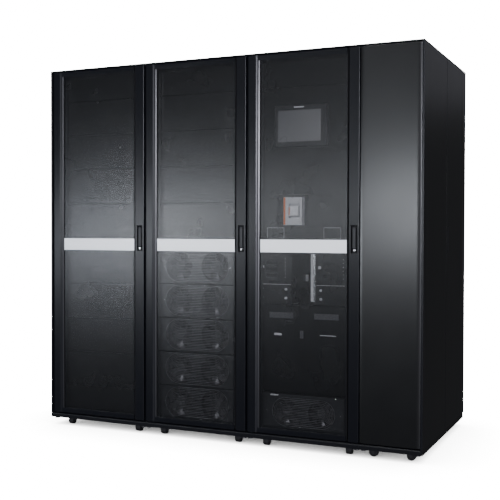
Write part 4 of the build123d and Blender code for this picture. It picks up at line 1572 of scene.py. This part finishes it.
    def knob(self) -> None:
        """The pale knob on the left control unit's side, whose faint glow is painted light, and the
        flange left of the rail.
        """
        form = Form("bay_knob")
        side = solids("control_units")[0].high.x
        (y, z), (deep, tall) = self.knob_middle, self.knob_half
        low = (side - 0.5 * MM, y - deep, z - tall)
        form.block(low, (side + self.knob_reach, y + deep, z + tall), 5 * MM)
        form.finish(Palette.tag, "toggle_grey")
        rail = extent("bay_rail")
        flange = Form("rail_flange")
        low = (rail.low.x - self.flange_width, rail.low.y + 4 * MM, rail.low.z + 15 * MM)
        flange.block(low, (rail.low.x + 0.5 * MM, rail.low.y + 5.5 * MM, rail.high.z), 0.3 * MM)
        flange.finish(Palette.breaker, "rail_steel")

    def thumb_screws(self) -> None:
        """The captive screws of the control units."""
        form = Form("thumb_screws")
        face = extent("control_units").low.y
        screw = ThumbScrew()
        for x, z in self.thumb_screw_places:
            screw.add(form, Vector((self.x(x), face, z * MM)))
        form.finish(Palette.zinc, "rail_steel")

    def control_faces(self) -> None:
        """The seams, lights, sockets and tags of the control units."""
        face = extent("control_units").low.y
        field = face + self.control_step
        seams = Form("control_seams")
        z0, z1 = self.seam_rows
        for x0, x1 in self.seam_spans:
            low = (self.x(x0), face - 0.4 * MM, z0)
            seams.block(low, (self.x(x1), face + 0.4 * MM, z1), 0.15 * MM)
        seams.finish(Palette.tag, "toggle_grey")
        lights = Form("control_lights")
        dome = [(0.0, 1.2 * MM), (1.3 * MM, 1.0 * MM), (1.8 * MM, 0.0)]
        for left in self.light_places:
            for n in range(self.light_count):
                z = (self.mark_bottom + self.light_pitch * n) * MM
                lights.turned(dome, Vector((self.x(left), field, z)), FRONTWARDS, 12)
        lights.finish(Palette.tag, "toggle_grey")
        sockets = Form("control_sockets")
        wide, tall = self.socket_size
        for left in self.socket_places:
            for n in range(self.socket_count):
                z = (self.mark_bottom + self.socket_pitch * n) * MM
                low = (self.x(left), field - 2.5 * MM, z)
                sockets.block(low, (self.x(left + wide), field + 0.2 * MM, z + tall * MM), 1.2 * MM)
        sockets.finish(Palette.shroud, "fan_black")
        tags = Form("control_tags")
        for left in self.control_tag_places:
            span = (left, left + self.control_tag_width)
            self.tag(tags, span, self.control_tag_rows, field)
        tags.finish(Palette.tag, "toggle_grey")


@dataclass
class Castor:
    """One castor: a plate with bolts, a swivel ring, a hooded fork and a wheel."""

    wheel: Extent
    top: float
    plate: Vector
    plate_half: float = 23.0 * MM
    plate_thickness: float = 3.0 * MM
    leg_thickness: float = 2.2 * MM
    leg_clearance: float = 0.4 * MM

    @property
    def half_width(self) -> float:
        """Half the width of the wheel's tread."""
        return min(self.wheel.size.x, self.wheel.size.y) / 2

    def turn(self) -> Matrix:
        """From the castor's own directions, with X along the axle, to the row's."""
        trail = self.wheel.middle - self.plate
        along = Vector((trail.x, trail.y, 0.0)).normalized()
        across = along.cross(UPWARDS)
        return Matrix((across, along, UPWARDS)).transposed()

    def local(self, across: float, along: float, height: float) -> Vector:
        """A point of the castor in the row's directions.

        Args:
            across: along the axle, from the plate's middle.
            along: towards the wheel, from the plate's middle.
            height: from the floor.

        Returns:
            The point.
        """
        point = self.turn() @ Vector((across, along, 0.0))
        return Vector((self.plate.x + point.x, self.plate.y + point.y, height))

    def add_steel(self, form: Form) -> None:
        """Adds the plate, its bolts, the swivel ring, the fork and the axle's ends.

        Args:
            form: the form.
        """
        r = self.wheel.size.z / 2
        half, place = self.plate_half, self.plate
        under = self.top - self.plate_thickness
        low = (place.x - half, place.y - half, under)
        form.block(low, (place.x + half, place.y + half, self.top), 0.5 * MM)
        bolt = Screw(radius=3.0 * MM, height=1.6 * MM, sides=6)
        for a, b in product((-1, 1), repeat=2):
            corner = Vector((place.x + a * 0.74 * half, place.y + b * 0.74 * half, under))
            bolt.add(form, corner, -UPWARDS)
        ring = [(0.0, 0.0), (15 * MM, 0.0), (16 * MM, 1.0 * MM), (14 * MM, 3.0 * MM), (0.0, 3.0 * MM)]
        form.turned(ring, Vector((place.x, place.y, under)), -UPWARDS, 28)
        trail = (self.wheel.middle - self.plate).xy.length
        inner = self.half_width + self.leg_clearance
        outer = inner + self.leg_thickness
        crown = under - 3.0 * MM
        outline = [
            (-14 * MM, crown),
            (12 * MM, crown),
            (trail + 6 * MM, r + 3 * MM),
            (trail + 5 * MM, r - 5 * MM),
            (trail - 5 * MM, r - 6 * MM),
            (-10 * MM, crown - 8 * MM),
        ]
        for side in (-1, 1):
            sections = []
            for reach in (inner, outer):
                sections.append([self.local(side * reach, along, height) for along, height in outline])
            form.loft(sections)
            axle = self.local(side * outer, trail, r)
            out = (self.turn() @ Vector((side, 0.0, 0.0))).normalized()
            head = [(0.0, 2.6 * MM), (4.4 * MM, 2.6 * MM), (5.0 * MM, 2.0 * MM), (5.0 * MM, 0.0)]
            form.turned(head, axle, out, 6)

    def add_wheel(self, tyre: Form, core: Form) -> None:
        """Adds the tyre and the wheel's core.

        Args:
            tyre: the form of all tyres.
            core: the form of all cores.
        """
        r = self.wheel.size.z / 2
        half = self.half_width
        middle = self.wheel.middle
        axis = (self.turn() @ Vector((1.0, 0.0, 0.0))).normalized()
        foot = middle - axis * half
        wide = 2 * half
        tread = [
            (0.72 * r, 0.6 * MM),
            (0.88 * r, 0.0),
            (0.96 * r, 1.2 * MM),
            (r, 4.0 * MM),
            (r, wide - 4.0 * MM),
            (0.96 * r, wide - 1.2 * MM),
            (0.88 * r, wide),
            (0.72 * r, wide - 0.6 * MM),
        ]
        tyre.turned(tread, foot, axis, 48, closed=True)
        hub = [
            (0.0, 1.0 * MM),
            (0.3 * r, 1.0 * MM),
            (0.34 * r, 3.5 * MM),
            (0.66 * r, 3.5 * MM),
            (0.73 * r, 1.4 * MM),
            (0.73 * r, wide - 1.4 * MM),
            (0.66 * r, wide - 3.5 * MM),
            (0.34 * r, wide - 3.5 * MM),
            (0.3 * r, wide - 1.0 * MM),
            (0.0, wide - 1.0 * MM),
        ]
        core.turned(hub, foot, axis, 36)


class RunningGear:
    """The castors and levelling feet of all four cabinets."""

    span_margin = 0.5 * MM
    least_trail = 2.0 * MM
    trail = 10.0 * MM

    def build(self) -> None:
        """Makes the castors and the feet in place of the frame's plain ones."""
        forks = solids("castor_forks")
        steel, tyre, core = Form("castor_frames"), Form("castor_tyres"), Form("castor_cores")
        for wheel in solids("castor_wheels"):
            fork = min(forks, key=lambda box: (box.middle - wheel.middle).xy.length)
            plate = self.plate_middle(fork, wheel)
            castor = Castor(wheel, fork.high.z, plate)
            castor.add_steel(steel)
            castor.add_wheel(tyre, core)
        steel.finish(Palette.castor, "castor_steel", "castor_forks")
        tyre.finish(Palette.tread, "wheel_black", "castor_wheels")
        core.finish(Palette.handle, "wheel_black")
        self.feet()

    def plate_middle(self, fork: Extent, wheel: Extent) -> Vector:
        """The middle of a castor's plate, which its wheel trails behind or runs ahead of.

        Args:
            fork: the box of the fork with its plate.
            wheel: the box of the wheel.

        Returns:
            The middle, at the height of the fork's middle.
        """
        half = Castor.plate_half
        point = fork.middle.copy()
        for axis in (0, 1):
            if fork.size[axis] > 2 * half + self.span_margin:
                ahead = wheel.middle[axis] > fork.middle[axis]
                point[axis] = fork.low[axis] + half if ahead else fork.high[axis] - half
        if (wheel.middle - point).xy.length < self.least_trail:
            point.y += self.trail if wheel.middle.y < 0 else -self.trail
        return point

    def feet(self) -> None:
        """The levelling feet: a round pad, a nut and a threaded stem."""
        form = Form("threaded_feet")
        for foot in solids("levelling_feet"):
            base = Vector((foot.middle.x, foot.middle.y, foot.low.z))
            height = foot.size.z
            pad = [(0.0, 0.0), (13 * MM, 0.0), (14 * MM, 1 * MM), (13.5 * MM, 4 * MM), (6 * MM, 6 * MM)]
            form.turned([*pad, (0.0, 6 * MM)], base, UPWARDS, 28)
            nut = [(0.0, 6 * MM), (8.2 * MM, 6 * MM), (9 * MM, 6.8 * MM), (9 * MM, 11 * MM)]
            form.turned([*nut, (8.2 * MM, 12 * MM), (0.0, 12 * MM)], base, UPWARDS, 6)
            stem = [(0.0, 5 * MM)]
            rise = 5 * MM
            while rise < height - 0.5 * MM:
                stem += [(5.2 * MM, rise), (6.0 * MM, rise + 0.5 * MM)]
                rise += 1.0 * MM
            form.turned([*stem, (5.2 * MM, height), (0.0, height)], base, UPWARDS, 20)
        form.finish(Palette.castor, "foot_steel", "levelling_feet")


@dataclass
class PhotoCamera:
    """The camera of the photograph, fitted to the corners of the row."""

    place: tuple[float, float, float] = (2.0381, -4.6648, 1.0962)
    turn: float = math.radians(24.860)
    pitch: float = math.radians(1.111)
    roll: float = math.radians(0.117)
    lens: float = 64.72
    shift_x: float = 0.0232
    shift_y: float = -0.0033
    sensor: float = 36.0
    reach: float = 200.0

    def build(self) -> None:
        """Makes the camera and puts it in the scene."""
        data = bpy.data.cameras.new("photo_camera")
        data.sensor_width = self.sensor
        data.lens = self.lens
        data.shift_x = self.shift_x
        data.shift_y = self.shift_y
        data.clip_end = self.reach
        camera = bpy.data.objects.new("photo_camera", data)
        bpy.context.scene.collection.objects.link(camera)
        tilt = Matrix.Rotation(math.pi / 2 - self.pitch, 4, "X")
        turn = Matrix.Rotation(self.turn, 4, "Z") @ tilt @ Matrix.Rotation(self.roll, 4, "Z")
        camera.matrix_world = Matrix.Translation(Vector(self.place)) @ turn
        bpy.context.scene.camera = camera


@dataclass(frozen=True)
class Softbox:
    """One area light of the studio."""

    name: str
    place: tuple[float, float, float]
    aim: tuple[float, float, float]
    size: tuple[float, float]
    radiance: float
    colour: Colour = (1.0, 1.0, 1.0)

    def build(self) -> None:
        """Makes the light. Its power gives the stated radiance over its area."""
        light = bpy.data.lights.new(self.name, "AREA")
        light.shape = "RECTANGLE"
        light.size, light.size_y = self.size
        light.energy = self.radiance * math.pi * self.size[0] * self.size[1]
        light.color = self.colour
        lamp = bpy.data.objects.new(self.name, light)
        bpy.context.scene.collection.objects.link(lamp)
        lamp.location = self.place
        aim = Vector(self.aim) - Vector(self.place)
        lamp.rotation_mode = "QUATERNION"
        lamp.rotation_quaternion = aim.to_track_quat("-Z", "Y")
        lamp.visible_camera = False


class Studio:
    """A glowing white floor and surround, with painted shade where the row stands close, and soft cards
    round it.
    """

    white = 18.0
    ambient = 0.045
    floor_radius = 30.0
    floor_sides = 96
    floor_drop = 0.5 * MM
    shade_samples = 16
    shade_reach = 0.42
    shade_depth = 1.1
    blue = (0.85, 0.91, 1.02)
    cool = (0.9, 0.945, 1.01)
    violet = (0.87, 0.88, 1.0)
    lights = (
        Softbox("battery_glow", (-4.45, -5.5, 0.97), (-0.8, -0.5, 1.02), (1.9, 0.75), 8.0, blue),
        Softbox("power_glow", (-3.0, -5.5, 1.1), (-0.15, -0.5, 1.1), (1.28, 0.75), 13.2, cool),
        Softbox("io_glow", (-1.5, -5.5, 1.31), (0.45, -0.5, 1.17), (1.15, 0.6), 7.4, cool),
        Softbox("panel_glow", (-0.18, -5.5, 1.34), (0.9, -0.5, 1.2), (0.72, 0.6), 22.0, cool),
        Softbox("upper_glow", (-0.7, -5.5, 2.6), (0.6, -0.5, 1.7), (2.2, 1.1), 0.62, cool),
        Softbox("reveal_glow", (30.5, -60.0, 7.4), (0.0, -0.5, 1.5), (15.5, 3.6), 300.0, violet),
        Softbox("wire_glint", (0.0, -2.4, 3.6), (-0.2, -0.5, 0.8), (0.6, 0.4), 30.0),
        Softbox("side_glow", (5.6, 20.0, 7.4), (1.06, 0.0, 1.8), (9.0, 5.6), 0.2, violet),
        Softbox("overhead", (0.0, 0.0, 4.4), (0.0, 0.0, 0.0), (4.0, 2.0), 1.0),
        Softbox("back_glow", (-2.0, 6.0, 1.6), (-0.3, 0.5, 1.2), (2.4, 1.2), 9.0, cool),
        Softbox("left_glow", (-6.5, 0.5, 1.6), (-1.0, 0.0, 1.2), (2.0, 1.0), 9.0, cool),
        Softbox("right_glow", (6.5, 1.2, 1.6), (1.0, 0.0, 1.2), (1.6, 1.0), 7.0, cool),
    )

    def build(self) -> None:
        """Makes the surround, the floor and the lights."""
        self.surround()
        self.floor()
        for light in self.lights:
            light.build()
            log.info("light %s: radiance %.1f", light.name, light.radiance)

    def surround(self) -> None:
        """White where the camera sees it, and dim for all other light."""
        world = bpy.data.worlds.new("studio_surround")
        bpy.context.scene.world = world
        world.use_nodes = True
        nodes, links = world.node_tree.nodes, world.node_tree.links
        nodes.clear()
        seen, dim = nodes.new("ShaderNodeBackground"), nodes.new("ShaderNodeBackground")
        for background, strength in ((seen, self.white), (dim, self.ambient)):
            background.inputs["Color"].default_value = (1.0, 1.0, 1.0, 1.0)
            background.inputs["Strength"].default_value = strength
        path, mix = nodes.new("ShaderNodeLightPath"), nodes.new("ShaderNodeMixShader")
        output = nodes.new("ShaderNodeOutputWorld")
        links.new(path.outputs["Is Camera Ray"], mix.inputs[0])
        links.new(dim.outputs[0], mix.inputs[1])
        links.new(seen.outputs[0], mix.inputs[2])
        links.new(mix.outputs[0], output.inputs[0])

    def floor(self) -> None:
        """A wide glowing white floor with a soft painted shadow round what stands on it."""
        form = bmesh.new()
        bmesh.ops.create_circle(
            form, cap_ends=True, segments=self.floor_sides, radius=self.floor_radius
        )
        data = bpy.data.meshes.new("studio_floor")
        form.to_mesh(data)
        form.free()
        tree = ShaderTree("floor_glow_painted_shadow")
        settings = {"samples": self.shade_samples}
        reach = {"Distance": self.shade_reach}
        # The floor's glow darkens where little of the space round it is open: a painted shadow, not a
        # cast one.
        openness = tree.node("ShaderNodeAmbientOcclusion", settings, reach, "AO")
        shade = openness.power(self.shade_depth)
        data.materials.append(tree.surface({
            "Base Color": (0.0, 0.0, 0.0),
            "Roughness": 1.0,
            "Specular IOR Level": 0.0,
            "Emission Color": tree.blend(shade, (0.0, 0.0, 0.0), (1.0, 1.0, 1.0)),
            "Emission Strength": self.white,
        }))
        floor = bpy.data.objects.new("studio_floor", data)
        bpy.context.scene.collection.objects.link(floor)
        floor.location.z = -self.floor_drop
        floor.visible_glossy = False
        floor.visible_diffuse = False


def main() -> None:
    """Builds the row piece by piece."""
    logging.basicConfig(level=logging.INFO, format="%(name)s: %(message)s")
    PhotoCamera().build()
    Studio().build()
    FrameDress().apply()
    for cabinet in Cabinet:
        DoorTrim(cabinet).build()
    Carcass().build()
    ModuleStack().build()
    for number in range(1, 13):
        FanRotor(number).build()
    InputOutputBay().build()
    RunningGear().build()


if __name__ == "__main__":
    main()
